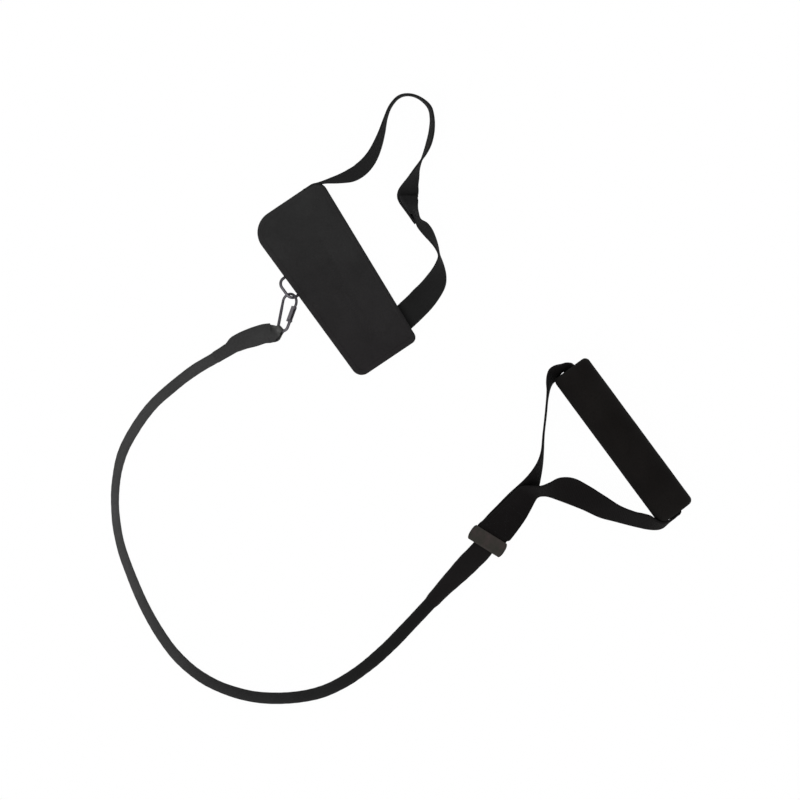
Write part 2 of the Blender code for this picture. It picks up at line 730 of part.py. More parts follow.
def tube(name, points, diameter, look):
    """A round tube as a curve with filled ends."""
    data = bpy.data.curves.new(name, "CURVE")
    data.dimensions = "3D"
    data.bevel_depth = diameter / 2
    data.bevel_resolution = CORD_SIDES_LEVEL
    data.use_fill_caps = True
    data.render_resolution_u = 0
    spline = data.splines.new("POLY")
    spline.points.add(len(points) - 1)
    for target, point in zip(spline.points, points):
        target.co = (*point, 1.0)
    data.materials.append(look)
    made = bpy.data.objects.new(name, data)
    bpy.context.collection.objects.link(made)
    return made


def tube_mesh(name, points, diameter, look):
    """The same tube as a mesh, for a Boolean."""
    source = tube(name + "_line", points, diameter, look)
    evaluated = source.evaluated_get(bpy.context.evaluated_depsgraph_get())
    mesh = bpy.data.meshes.new_from_object(evaluated)
    bpy.data.objects.remove(source, do_unlink=True)
    mesh.name = name
    bm = bmesh.new()
    bm.from_mesh(mesh)
    return finish(name, bm, look)


def beyond(points, distance):
    """The line with a straight piece added at both ends."""
    start = points[0] + (points[0] - points[1]).normalized() * distance
    end = points[-1] + (points[-1] - points[-2]).normalized() * distance
    return [start, *points, end]


def cord_sheath(look):
    """The woven sheath of the free stretch, with its bore cut out by a plainer tube."""
    points = [*FREE_LINE]
    points[0] = points[0] + (points[1] - points[0]).normalized() * GAP
    points[-1] = points[-1] + (points[-2] - points[-1]).normalized() * GAP
    sheath = tube_mesh("cord_sheath", points, CORD_DIAMETER, look)
    bore = tube_mesh("sheath_bore_cutter", beyond(points, 3 * MM), CORD_DIAMETER - 2 * SHEATH_WALL, look)
    cut(sheath, bore)
    return sheath


def cord_core(look):
    """The latex core, through the sheath and into both sleeves."""
    start = line_part(CUFF_SLEEVE_LINE, CORE_IN_SLEEVE, 3)[:0:-1]
    end = line_part(HANDLE_SLEEVE_LINE, CORE_IN_SLEEVE, 3)[1:]
    return tube("cord_core", [*start, *FREE_LINE, *end], CORE_DIAMETER, look)


def ferrule(name, line, look):
    """The crimped ring on one end of the core, inside its sleeve."""
    inner = CORE_DIAMETER + 4 * PIVOT_GAP
    outer = inner + 2 * FERRULE_WALL
    points = line_part(line, CORE_IN_SLEEVE, 12)[-6:]
    ways = directions(points)
    rings = [oval(point, way, outer, outer) for point, way in zip(points, ways)]
    rings += [oval(point, way, inner, inner) for point, way in zip(points[::-1], ways[::-1])]
    return loft_ring(name, rings, look)


def sleeve_bore(line):
    """Rings of the blind bore in a sleeve, from its bottom to its mouth."""
    bore = CORE_DIAMETER + 4 * PIVOT_GAP + 2 * FERRULE_WALL + 4 * PIVOT_GAP
    points = line_part(line, CORE_IN_SLEEVE + MM, 8)
    ways = directions(points)
    return [oval(point, way, bore, bore) for point, way in zip(points[::-1], ways[::-1])]


def cuff_sleeve(look):
    """The sheath's end folded back: round where the cord enters, flat at its mouth."""
    points = line_part(CUFF_SLEEVE_LINE, line_length(CUFF_SLEEVE_LINE), 12)
    mouth = LOOP_CONTACT + LOOP_PULL * LOOP_TAIL_LENGTH
    mouth.z = CORD_HEIGHT
    line = [point for point in points if (point - mouth).dot(LOOP_PULL) > 4 * MM]
    points = even_points([*line, mouth + LOOP_PULL * 2 * MM, mouth], 12)
    ways = directions(points)
    ways[-1] = -LOOP_PULL
    rings = sleeve_bore(CUFF_SLEEVE_LINE)
    for index, (point, way) in enumerate(zip(points, ways)):
        share = index / (len(points) - 1)
        swell = min(share / 0.6, 1.0)
        swell = swell * swell * (3 - 2 * swell)
        width = SLEEVE_END_DIAMETER + (CUFF_SLEEVE_WIDTH - SLEEVE_END_DIAMETER) * swell
        height = SLEEVE_END_HEIGHT + (CORD_DIAMETER - SLEEVE_END_HEIGHT) * swell
        level = Vector((point.x, point.y, height / 2 + 0.1 * MM * (1 - swell)))
        rings.append(oval(level, way, width, height))
    return loft("cuff_end_sleeve", rings, look)


# The loop of tape from the cuff's sleeve round the link's foot

CUFF_SLEEVE_WIDTH = 14.8 * MM
LOOP_TAPE = 0.8 * MM
LOOP_INSIDE = 5.0 * MM
LOOP_ROLL = math.radians(11.0)
LOOP_NARROW = 4.4 * MM
LOOP_WIDE = 13.0 * MM
LOOP_TAIL_LENGTH = 7.6 * MM
LOOP_ANGLE = math.radians(50.0)
LOOP_TURN = math.radians(-148.0)
LOOP_CONTACT = on_link(
    LINK_LENGTH - LINK_FOOT_RADIUS + LINK_FOOT_RADIUS * math.cos(LOOP_ANGLE),
    -LINK_FOOT_RADIUS * math.sin(LOOP_ANGLE),
)
LOOP_PULL = Vector((math.cos(LOOP_TURN), math.sin(LOOP_TURN), 0.0))


def cuff_loop(look):
    """A strip of tape that leaves the sleeve, goes round the link's wire and comes back."""
    reach = (LOOP_INSIDE + LOOP_TAPE) / 2
    level = LOOP_PULL.cross(UP).normalized()
    centre = LOOP_CONTACT - LOOP_PULL * GAP
    drop = UP * (CORD_HEIGHT - LOOP_CONTACT.z)
    tail = LOOP_TAIL_LENGTH - GAP
    stations = [(tail, -reach, 1.0), (tail * 0.62, -reach, 0.75), (tail * 0.3, -reach, 0.2), (0.0, -reach, 0.0)]
    for step in range(1, 8):
        angle = -math.pi / 2 - math.pi * step / 8
        stations.append((reach * math.cos(angle), reach * math.sin(angle), 0.0))
    stations += [(0.0, reach, 0.0), (tail * 0.3, reach, 0.2), (tail * 0.62, reach, 0.75), (tail, reach, 1.0)]
    feet, tops = [], []
    for out, lift, flare in stations:
        share = max(out / tail, 0.0)
        roll = LOOP_ROLL * (1 - share)
        across = level * math.cos(roll) - UP * math.sin(roll)
        middle = centre + LOOP_PULL * out + across.cross(LOOP_PULL) * lift + drop * share
        half = (LOOP_NARROW + (LOOP_WIDE - LOOP_NARROW) * flare) / 2
        feet.append(middle - across * half)
        tops.append(middle + across * half)
    return loft("cuff_end_loop", ribbon_sections(feet, tops, LOOP_TAPE), look)


# Handle

HANDLE_SLEEVE_WIDTH = 16.0 * MM
HANDLE_SLEEVE_HEIGHT = 5.2 * MM
TONGUE_THICKNESS = 1.4 * MM
TONGUE_LENGTH = 8.0 * MM
COLLAR_OUTSIDE_HEIGHT = COLLAR_INSIDE_HEIGHT + 2 * COLLAR_WALL
COLLAR_HEIGHT = COLLAR_OUTSIDE_HEIGHT / 2
COLLAR_AXIS = Vector((math.cos(COLLAR_TURN), math.sin(COLLAR_TURN), 0.0))
COLLAR_MIDDLE = flat([COLLAR_CENTRE], COLLAR_HEIGHT)[0]
WEBBING_END = -2.0 * MM
WEBBING_IN_COLLAR = (WEBBING_END, 2.8 * MM, 7.6 * MM)


def handle_sleeve(look):
    """Round at the cord, flat in the collar, with a thin tongue between the webbing's two ends."""
    end = COLLAR_MIDDLE + COLLAR_AXIS * (WEBBING_END - 2 * GAP)
    line = [*HANDLE_SLEEVE_LINE[:-3], end - COLLAR_AXIS * 4 * MM, end]
    points = even_points(line, 14)
    ways = directions(points)
    ways[-1] = COLLAR_AXIS
    rings = sleeve_bore(HANDLE_SLEEVE_LINE)
    for index, (point, way) in enumerate(zip(points, ways)):
        share = index / (len(points) - 1)
        swell = min(share / 0.75, 1.0)
        swell = swell * swell * (3 - 2 * swell)
        width = SLEEVE_END_DIAMETER + (HANDLE_SLEEVE_WIDTH - SLEEVE_END_DIAMETER) * swell
        flatten = max(share - 0.35, 0.0) / 0.65
        height = SLEEVE_END_HEIGHT + (HANDLE_SLEEVE_HEIGHT - SLEEVE_END_HEIGHT) * flatten
        middle = SLEEVE_END_HEIGHT / 2 + 0.1 * MM
        level = Vector((point.x, point.y, middle + (COLLAR_HEIGHT - middle) * flatten))
        rings.append(oval(level, way, width, height))
    for reach in (GAP, TONGUE_LENGTH):
        place = end + COLLAR_AXIS * reach
        rings.append(oval(place, COLLAR_AXIS, HANDLE_SLEEVE_WIDTH - MM, TONGUE_THICKNESS))
    return loft("handle_end_sleeve", rings, look)


def collar(look):
    """The moulded keeper round the webbing's ends and the sleeve, its rims rounded."""
    half = COLLAR_LENGTH / 2
    inside_width = WEBBING_WIDTH + 4 * GAP
    outside_width = inside_width + 2 * COLLAR_WALL
    rings = []
    for inset, less in COLLAR_RIM + COLLAR_RIM[::-1]:
        place = inset - half if len(rings) < len(COLLAR_RIM) else half - inset
        centre = COLLAR_MIDDLE + COLLAR_AXIS * place
        rings.append(soft_box(
            centre, COLLAR_AXIS, outside_width - less, COLLAR_OUTSIDE_HEIGHT - less / 2, 2.0 * MM
        ))
    for place in (half, -half):
        centre = COLLAR_MIDDLE + COLLAR_AXIS * place
        rings.append(soft_box(centre, COLLAR_AXIS, inside_width, COLLAR_INSIDE_HEIGHT, 0.5 * MM))
    return loft_ring("collar", rings, look)


GRIP_AXIS = Vector((math.cos(GRIP_TURN), math.sin(GRIP_TURN), 0.0))
GRIP_SIDE = Vector((-math.sin(GRIP_TURN), math.cos(GRIP_TURN), 0.0))
GRIP_START = flat([GRIP_END], GRIP_DIAMETER / 2)[0]
GRIP_MIDDLE = GRIP_START + GRIP_AXIS * GRIP_LENGTH / 2

# The first leg of the webbing: from the collar, twisting on edge, to the grip's upper end
LEG_UP = [
    (132.5, -189.5, 2.2, 112.5, -174.5), (140.3, -181.0, 1.4, 121.3, -168.3), (147.8, -169.0, 0.9, 130.5, -158.5),
    (151.3, -158.5, 0.6, 139.5, -150.2), (153.0, -148.0, 0.4, 147.0, -142.5), (154.5, -136.5, 0.4, 152.5, -134.8),
    (155.4, -122.0, 0.4, 155.1, -121.9), (157.0, -102.0, 0.4, 156.8, -102.0), (158.3, -88.5, 0.6, 157.7, -86.0),
    (160.2, -79.5, 1.2, 158.3, -74.5), (163.0, -72.6, 2.6, 160.3, -68.0, 0.98),
    (165.6, -69.2, 4.4, 164.2, -65.2, 0.84), (168.6, -67.6, 6.4, 168.0, -65.4, 0.66),
]

# The second leg: from the grip's lower end back to the collar, over the first
LEG_DOWN = [
    (251.0, -181.0, 6.4, 251.1, -180.2, 0.66), (248.6, -184.0, 4.4, 248.9, -182.4, 0.82),
    (244.6, -186.6, 2.4, 245.8, -183.6, 0.95), (239.0, -187.4, 1.2, 241.4, -182.0, 1.0),
    (232.3, -186.8, 0.8, 235.6, -178.9), (220.9, -183.7, 0.5, 223.5, -174.0),
    (209.2, -180.3, 0.5, 212.6, -169.6), (197.5, -177.5, 0.5, 201.9, -162.6), (185.0, -172.0, 0.5, 190.0, -155.0),
    (173.5, -167.6, 0.5, 178.5, -149.3), (163.8, -164.4, 0.5, 167.6, -148.3), (157.4, -163.2, 0.8, 160.0, -152.5),
    (153.6, -165.5, 2.2, 153.2, -156.8), (149.3, -171.2, 3.9, 141.0, -161.0),
]
WEBBING_STEPS = 2
BORE_STATIONS = 7


def webbing_edges():
    """Both edges of the handle's webbing, from one end in the collar to the other."""
    across = COLLAR_AXIS.cross(UP).normalized() * WEBBING_WIDTH / 2
    layer = (TONGUE_THICKNESS + WEBBING_THICKNESS) / 2 + GAP
    low = [COLLAR_MIDDLE + COLLAR_AXIS * place - UP * layer for place in WEBBING_IN_COLLAR]
    feet, tops = strip_edges(LEG_UP, WEBBING_WIDTH)
    feet = [point + across for point in low] + feet
    tops = [point - across for point in low] + tops
    for number in range(BORE_STATIONS):
        reach = (GRIP_LENGTH + 2 * WEBBING_PAST_GRIP) * number / (BORE_STATIONS - 1) - WEBBING_PAST_GRIP
        middle = GRIP_START + GRIP_AXIS * reach - GRIP_SIDE * WEBBING_OFF_AXIS
        feet.append(middle - UP * WEBBING_IN_GRIP / 2)
        tops.append(middle + UP * WEBBING_IN_GRIP / 2)
    more_feet, more_tops = strip_edges(LEG_DOWN, WEBBING_WIDTH)
    feet += more_feet
    tops += more_tops
    step = WEBBING_THICKNESS + 2 * GAP
    last = len(low) + 2
    normals = face_normals(feet[:last + 1], tops[:last + 1])
    for index in range(last, -1, -1):
        distance = 2 * layer if index < last - 1 else step + (last - index) * TONGUE_THICKNESS / 2
        way = UP if index < len(low) else normals[index]
        way = way if way.z > 0 else -way
        feet.append(feet[index] + way * distance)
        tops.append(tops[index] + way * distance)
    return feet, tops


def handle_webbing(look):
    feet, tops = smooth_strip(*webbing_edges(), WEBBING_STEPS)
    return loft("handle_webbing", ribbon_sections(feet, tops, WEBBING_THICKNESS, 3), look)


def turned_tube(name, outside, inside, sides, look):
    """A tube round the grip's axis, from (place along the axis, radius) pairs."""
    rings = []
    for place, radius in [*outside, *reversed(inside)]:
        centre = GRIP_START + GRIP_AXIS * place
        rings.append(oval(centre, GRIP_AXIS, 2 * radius, 2 * radius, sides))
    return loft_ring(name, rings, look, GRIP_MIDDLE)


def grip_foam(look):
    radius = GRIP_DIAMETER / 2
    bore = GRIP_CORE_OUTSIDE / 2 + GAP
    outside = []
    for step in range(4):
        angle = math.pi / 2 * step / 3
        outside.append((GRIP_EDGE * (1 - math.sin(angle)), radius - GRIP_EDGE * (1 - math.cos(angle))))
    outside = [(place, r) for place, r in outside[::-1]]
    far = [(GRIP_LENGTH - place, r) for place, r in outside[::-1]]
    return turned_tube("grip_foam", outside + far, [(0.0, bore), (GRIP_LENGTH, bore)], 20, look)


def grip_core(look):
    start = GRIP_CORE_SHORTER / 2
    end = GRIP_LENGTH - GRIP_CORE_SHORTER / 2
    outside = [(start, GRIP_CORE_OUTSIDE / 2), (end, GRIP_CORE_OUTSIDE / 2)]
    inside = [(start, GRIP_CORE_INSIDE / 2), (end, GRIP_CORE_INSIDE / 2)]
    return turned_tube("grip_core_tube", outside, inside, 20, look)


BLACK_WEAVE = material("black_weave", (0.018, 0.018, 0.020), 0.85)
CUFF_CLOTH = material("cuff_cloth", (0.022, 0.022, 0.024), 0.8)
LINING_CLOTH = material("lining_cloth", (0.03, 0.03, 0.032), 0.9)
PAD_FOAM = material("pad_foam", (0.05, 0.05, 0.055), 0.95)
HOOKS = material("hook_plastic", (0.02, 0.02, 0.022), 0.6)
LOOPS = material("loop_pile", (0.015, 0.015, 0.016), 0.95)
STEEL = material("dark_steel", (0.16, 0.15, 0.17), 0.3, 1.0)
SPRING_STEEL = material("spring_steel", (0.4, 0.4, 0.42), 0.3, 1.0)
SHEATH = material("sheath_weave", (0.028, 0.028, 0.03), 0.8)
LATEX = material("latex", (0.55, 0.42, 0.25), 0.5)
BRASS = material("ferrule_metal", (0.5, 0.48, 0.45), 0.35, 1.0)
COLLAR_RUBBER = material("collar_rubber", (0.045, 0.039, 0.036), 0.55)
GRIP_RUBBER = material("grip_rubber", (0.012, 0.012, 0.013), 0.9)
TUBE_PLASTIC = material("tube_plastic", (0.03, 0.03, 0.03), 0.5)


def build():
    cuff_lining(LINING_CLOTH)
    slot = tab_slot(CUFF_CLOTH)
    for piece in (cuff_pad(PAD_FOAM), cuff_cover(CUFF_CLOTH), edge_binding(CUFF_CLOTH)):
        cut(piece, slot)
    ring_tab(BLACK_WEAVE)
    strap_upper(BLACK_WEAVE)
    strap_lower(BLACK_WEAVE)
    closure_patch("hook_patch", HOOK_PLACE, HOOKS)
    closure_patch("loop_patch", LOOP_PLACE, LOOPS)
    d_ring(STEEL)
    body = link_body(STEEL)
    gate = link_gate(STEEL)
    cut(gate, gate_back_cutter(STEEL))
    hole = pin_cylinder("pin_hole_cutter", PIN_DIAMETER / 2 + PIVOT_GAP / 2, PIN_HOLE_LENGTH, STEEL)
    cut(body, hole)
    cut(gate, hole)
    gate_pin(STEEL)
    gate_spring(SPRING_STEEL)
    cuff_loop(BLACK_WEAVE)
    cuff_sleeve(SHEATH)
    cord_sheath(SHEATH)
    cord_core(LATEX)
    ferrule("cuff_end_ferrule", CUFF_SLEEVE_LINE, BRASS)
    ferrule("handle_end_ferrule", HANDLE_SLEEVE_LINE, BRASS)
    handle_sleeve(SHEATH)
    collar(COLLAR_RUBBER)
    handle_webbing(BLACK_WEAVE)
    grip_foam(GRIP_RUBBER)
    grip_core(TUBE_PLASTIC)


build()
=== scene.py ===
# Looks of the ankle resistance cord: cloth, webbing, wire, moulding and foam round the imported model.
# Metres, +Z up, in the model's own frame. Every new surface is a grid of points worked out with numpy.

import json
import math

import bpy
import numpy as np
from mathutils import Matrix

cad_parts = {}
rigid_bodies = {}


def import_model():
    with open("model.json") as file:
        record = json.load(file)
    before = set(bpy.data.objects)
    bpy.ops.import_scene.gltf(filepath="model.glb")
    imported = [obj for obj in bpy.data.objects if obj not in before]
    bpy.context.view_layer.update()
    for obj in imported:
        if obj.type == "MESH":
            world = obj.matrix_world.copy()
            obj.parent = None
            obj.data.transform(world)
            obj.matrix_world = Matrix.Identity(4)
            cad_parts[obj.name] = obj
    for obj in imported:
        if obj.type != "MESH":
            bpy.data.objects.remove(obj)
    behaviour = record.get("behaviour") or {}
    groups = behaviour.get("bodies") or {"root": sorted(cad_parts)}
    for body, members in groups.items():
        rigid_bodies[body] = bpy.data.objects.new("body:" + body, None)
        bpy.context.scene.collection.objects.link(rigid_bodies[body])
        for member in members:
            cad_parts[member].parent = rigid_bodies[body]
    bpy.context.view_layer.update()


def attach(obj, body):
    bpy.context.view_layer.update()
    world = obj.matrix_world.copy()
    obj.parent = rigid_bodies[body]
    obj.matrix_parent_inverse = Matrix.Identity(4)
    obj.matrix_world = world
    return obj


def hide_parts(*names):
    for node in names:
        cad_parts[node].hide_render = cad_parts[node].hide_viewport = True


for old in list(bpy.data.objects):
    bpy.data.objects.remove(old, do_unlink=True)

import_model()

MM = 0.001
UP = np.array([0.0, 0.0, 1.0])
GAP = 0.3 * MM


# The camera looks straight down, far off, so that the picture is 600 mm across at the floor

PICTURE_WIDTH = 0.600
PICTURE_CENTRE = (0.047925, -0.090225)
SENSOR = 36.0
LENS = 500.0


def show(name, data):
    """A new object of this data, in the scene."""
    made = bpy.data.objects.new(name, data)
    bpy.context.scene.collection.objects.link(made)
    return made


def make_camera():
    """Looks straight down from picture width * lens / sensor, which makes the view that wide."""
    data = bpy.data.cameras.new("camera")
    data.sensor_width = SENSOR
    data.lens = LENS
    data.clip_start = 0.1
    data.clip_end = 60.0
    camera = show("camera", data)
    camera.location = (*PICTURE_CENTRE, PICTURE_WIDTH * LENS / SENSOR)
    bpy.context.scene.camera = camera


make_camera()


# Lines and grids


def unit(vectors):
    """Each vector divided by its length."""
    return vectors / np.maximum(np.linalg.norm(vectors, axis=-1, keepdims=True), 1e-12)


def smooth_line(points, steps):
    """Catmull-Rom: the span from b to c is a cubic that leaves b along c - a and reaches c along d - b."""
    points = np.asarray(points, float)
    padded = np.vstack([2 * points[0] - points[1], points, 2 * points[-1] - points[-2]])
    a, b, c, d = (padded[n:len(padded) - 3 + n, None] for n in range(4))
    t = (np.arange(steps) / steps)[None, :, None]
    square, cube = 2 * a - 5 * b + 4 * c - d, 3 * b - a - 3 * c + d
    spans = 0.5 * (2 * b + (c - a) * t + square * t**2 + cube * t**3)
    return np.vstack([spans.reshape(-1, points.shape[1]), points[-1]])


def running(points):
    """How far along the line each of its points is."""
    return np.concatenate([[0.0], np.cumsum(np.linalg.norm(np.diff(points, axis=0), axis=1))])


def rows_at(at, place, line):
    """The line's points at these places, place being where its own points are."""
    return np.column_stack([np.interp(at, place, line[:, axis]) for axis in range(line.shape[1])])


def at_lengths(points, lengths):
    """The points of a line at these distances along it."""
    return rows_at(lengths, running(points), points)


def even_line(points, spacing):
    """The same line with its points evenly apart, as near to the spacing as they come."""
    whole = running(points)[-1]
    return at_lengths(points, np.linspace(0.0, whole, max(2, round(whole / spacing) + 1)))


def tangents(points):
    """Unit vectors along the line, from the differences between neighbouring points."""
    return unit(np.gradient(points, axis=0))


def full_turn(count):
    """So many even angles round a circle."""
    return np.linspace(0, 2 * np.pi, count, endpoint=False)


def level(angle):
    """The level direction at this angle: (cos a, sin a, 0)."""
    return np.array([math.cos(angle), math.sin(angle), 0.0])


def spin(x_axis, y_axis, angle):
    """The direction at an angle between two axes: x_axis cos(a) + y_axis sin(a)."""
    return x_axis * np.cos(angle) + y_axis * np.sin(angle)


def joined_arcs(arcs, counts):
    """Four arcs in turn, each followed by a straight run of so many points to the next."""
    ring = []
    for index, arc in enumerate(arcs):
        share = np.linspace(0, 1, counts[index % 2] + 2)[1:-1, None]
        ring += [arc, arc[-1] + (arcs[(index + 1) % 4][0] - arc[-1]) * share]
    return np.vstack(ring)


def soft_step(x):
    """From 0 to 1 with level ends: 3 x^2 - 2 x^3."""
    x = np.clip(x, 0.0, 1.0)
    return x * x * (3 - 2 * x)


def bump(x, centre, width):
    """A smooth hump of height 1: e to the minus of the squared distance in widths."""
    return np.exp(-((x - centre) / width) ** 2)


def uneven(a, b, seed, waves=7):
    """Smooth unevenness between about -1 and 1: a sum of sine waves in a and b with drawn directions."""
    draw = np.random.default_rng(seed)
    total = 0.0
    for _ in range(waves):
        fa, fb, phase, size = (draw.uniform(*span) for span in ((-1, 1), (-1, 1), (0, 6.28), (0.4, 1)))
        total = total + size * np.sin(6.28 * (fa * a + fb * b) + phase)
    return total / waves * 1.4


def outward(part):
    """Turns the faces of a closed shell outwards: its signed volume is the sum of a . (b x c) / 6."""
    p, quads, tris = part["points"], part["quads"], part["tris"]
    corners = np.concatenate([quads[:, [0, 1, 2]], quads[:, [0, 2, 3]], tris])
    a, b, c = (p[corners[:, n]] - p.mean(0) for n in range(3))
    if np.einsum("ij,ij->", a, np.cross(b, c)) < 0:
        for key in ("quads", "tris", "quad_uv", "tri_uv"):
            part[key] = part[key][:, ::-1]
    return part


def shell(grid, ends="capped", wear=0.0):
    """A closed surface over rows of rings. Quad (r, c) joins ring points (r, c), (r, c+1), (r+1, c+1) and
    (r+1, c). Its ends meet in a middle point, or join. UV is in millimetres: u round, v along."""
    rows, cols = grid.shape[:2]
    index = np.arange(rows * cols).reshape(rows, cols)
    index = np.hstack([index, index[:, :1]])
    rolled = np.concatenate([grid, grid[:, :1]], 1)
    u = np.append(0.0, np.cumsum(np.linalg.norm(np.diff(rolled, axis=1), axis=2).mean(0)))
    v = np.append(0.0, np.cumsum(np.linalg.norm(np.diff(grid, axis=0), axis=2).mean(1)))
    if ends == "joined":
        index = np.vstack([index, index[:1]])
        v = np.append(v, v[-1] + np.linalg.norm(grid[-1] - grid[0], axis=1).mean())
    uv = np.stack(np.broadcast_arrays(u, v[:, None]), -1) / MM
    near, far = slice(None, -1), slice(1, None)
    pick = ((near, near), (near, far), (far, far), (far, near))
    quads = np.stack([index[p] for p in pick], -1).reshape(-1, 4)
    quad_uv = np.stack([uv[p] for p in pick], 2).reshape(-1, 4, 2)
    points, rubbed_and_glint = grid.reshape(-1, 3), np.broadcast_to(wear, (rows, cols))
    worn_and_glint = rubbed_and_glint.reshape(-1)
    tris, tri_uv = np.zeros((0, 3), int), np.zeros((0, 3, 2))
    caps = ((0, far, near, -2), (-1, near, far, 2)) if ends == "capped" else ()
    for row, a, b, way in caps:
        middle_uv = (uv[row, a] + uv[row, b]) / 2 + (0, way)
        tris = np.vstack([tris, np.stack([index[row, a], index[row, b], np.full(cols, len(points))], 1)])
        tri_uv = np.concatenate([tri_uv, np.stack([uv[row, a], uv[row, b], middle_uv], 1)])
        points = np.vstack([points, grid[row].mean(0)])
        worn_and_glint = np.append(worn_and_glint, rubbed_and_glint[row].mean())
    return outward({"points": points, "quads": quads, "tris": tris, "quad_uv": quad_uv, "tri_uv": tri_uv,
                    "wear": worn_and_glint})


def copies(part, origins, x_axes, y_axes, z_axes):
    """One shell repeated: each point is origin + x * x_axis + y * y_axis + z * z_axis."""
    base, count = part["points"], len(origins)
    points = origins[:, None]
    for axis, ways in enumerate((x_axes, y_axes, z_axes)):
        points = points + base[:, axis:axis + 1] * ways[:, None]
    step = (np.arange(count) * len(base))[:, None, None]
    quad_uv, tri_uv = (np.tile(part[key], (count, 1, 1)) for key in ("quad_uv", "tri_uv"))
    return {"points": points.reshape(-1, 3), "quads": (part["quads"] + step).reshape(-1, 4),
            "tris": (part["tris"] + step).reshape(-1, 3), "quad_uv": quad_uv, "tri_uv": tri_uv,
            "wear": np.tile(part["wear"], count)}


SHARP_ANGLE = math.radians(50.0)


def piece(name, parts, look, body, stands_for=()):
    """One object from shells, at the origin, with its UV map and its attribute of wear and painted
    highlight.
    """
    parts = parts if isinstance(parts, list) else [parts]
    starts = np.cumsum([0] + [len(p["points"]) for p in parts])
    quads, tris = (np.vstack([p[key] + start for p, start in zip(parts, starts)])
                   for key in ("quads", "tris"))
    points, worn_and_glint, quad_uv, tri_uv = (np.concatenate([p[key] for p in parts])
                                     for key in ("points", "wear", "quad_uv", "tri_uv"))
    uv = np.concatenate([quad_uv.reshape(-1, 2), tri_uv.reshape(-1, 2)])
    corners = np.concatenate([quads.ravel(), tris.ravel()])
    totals = np.repeat([4, 3], [len(quads), len(tris)])
    mesh = bpy.data.meshes.new(name)
    mesh.vertices.add(len(points))
    mesh.loops.add(len(corners))
    mesh.polygons.add(len(totals))
    mesh.vertices.foreach_set("co", points.astype(np.float32).ravel())
    mesh.loops.foreach_set("vertex_index", corners.astype(np.int32))
    mesh.polygons.foreach_set("loop_start", (np.cumsum(totals) - totals).astype(np.int32))
    mesh.polygons.foreach_set("loop_total", totals.astype(np.int32))
    mesh.uv_layers.new(name="UVMap").data.foreach_set("uv", uv.astype(np.float32).ravel())
    mesh.attributes.new("wear", "FLOAT", "POINT").data.foreach_set("value", worn_and_glint.astype(np.float32))
    mesh.update(calc_edges=True)
    mesh.validate()
    mesh.shade_smooth()
    mesh.set_sharp_from_angle(angle=SHARP_ANGLE)
    mesh.materials.append(look)
    made = show(name, mesh)
    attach(made, body)
    if stands_for:
        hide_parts(*stands_for)
    return made


def tube(line, radius, sides, normal=None, wear=0.0):
    """Rings round a line: point = line + across * r cos(a) + lift * r sin(a). Across lies level, or square
    to the wire's own plane when its normal is given."""
    way = tangents(line)
    if normal is None:
        across = unit(np.cross(way, UP))
        lift = np.cross(across, way)
    else:
        across = unit(np.cross(way, normal))
        lift = np.broadcast_to(normal, across.shape)
    rings = spin(across[:, None], lift[:, None], full_turn(sides)[None, :, None])
    return shell(line[:, None] + rings * np.reshape(radius, (len(line), -1, 1)), wear=wear)


def round_ended(line, radius):
    """The line with half a ball at each end: the radius there is r sin(a) at r cos(a) past the end."""
    angle = np.linspace(0.12, np.pi / 2, 5, endpoint=False)
    start_way, end_way = unit(line[0] - line[1]), unit(line[-1] - line[-2])
    start = line[0] + start_way * (radius * np.cos(angle))[:, None]
    end = line[-1] + end_way * (radius * np.cos(angle[::-1]))[:, None]
    ball = radius * np.sin(angle)
    return np.vstack([start, line, end]), np.concatenate([ball, np.full(len(line), radius), ball[::-1]])


THREAD_THICK = 0.36 * MM


def stitch_row(line, normals, pitch, length):
    """Stitches along a line on cloth: each is a bean of thread, its ends sunk into the cloth."""
    raised, sunk = 0.14 * MM, 0.34 * MM
    whole = running(line)[-1]
    count = max(1, int(whole / pitch))
    at = (np.arange(count) + 0.5) * whole / count
    origins, lifts = at_lengths(line, at), unit(at_lengths(normals, at))
    ways = unit(at_lengths(line, at + 0.1 * MM) - at_lengths(line, at - 0.1 * MM))
    lifts = unit(lifts - ways * np.sum(lifts * ways, 1, keepdims=True))
    x = np.linspace(-1, 1, 6)
    size = (THREAD_THICK / 2 * (1 - x**2 * 0.85))[:, None]
    angle = full_turn(6)
    bean = np.stack(np.broadcast_arrays((x * length / 2)[:, None], size * np.cos(angle),
                                        size * np.sin(angle) + (raised - sunk * x**2)[:, None]), -1)
    return copies(shell(bean), origins, ways, np.cross(lifts, ways), lifts)


# Materials. Patterns on cloth follow the piece's own UV map, which is in millimetres.


def colour(*levels):
    """Linear light from levels on the screen's scale of 0 to 255: ((c + 0.055) / 1.055)^2.4."""
    return tuple(((level / 255 + 0.055) / 1.055) ** 2.4 for level in levels)


def grey(level):
    return colour(level, level, level)


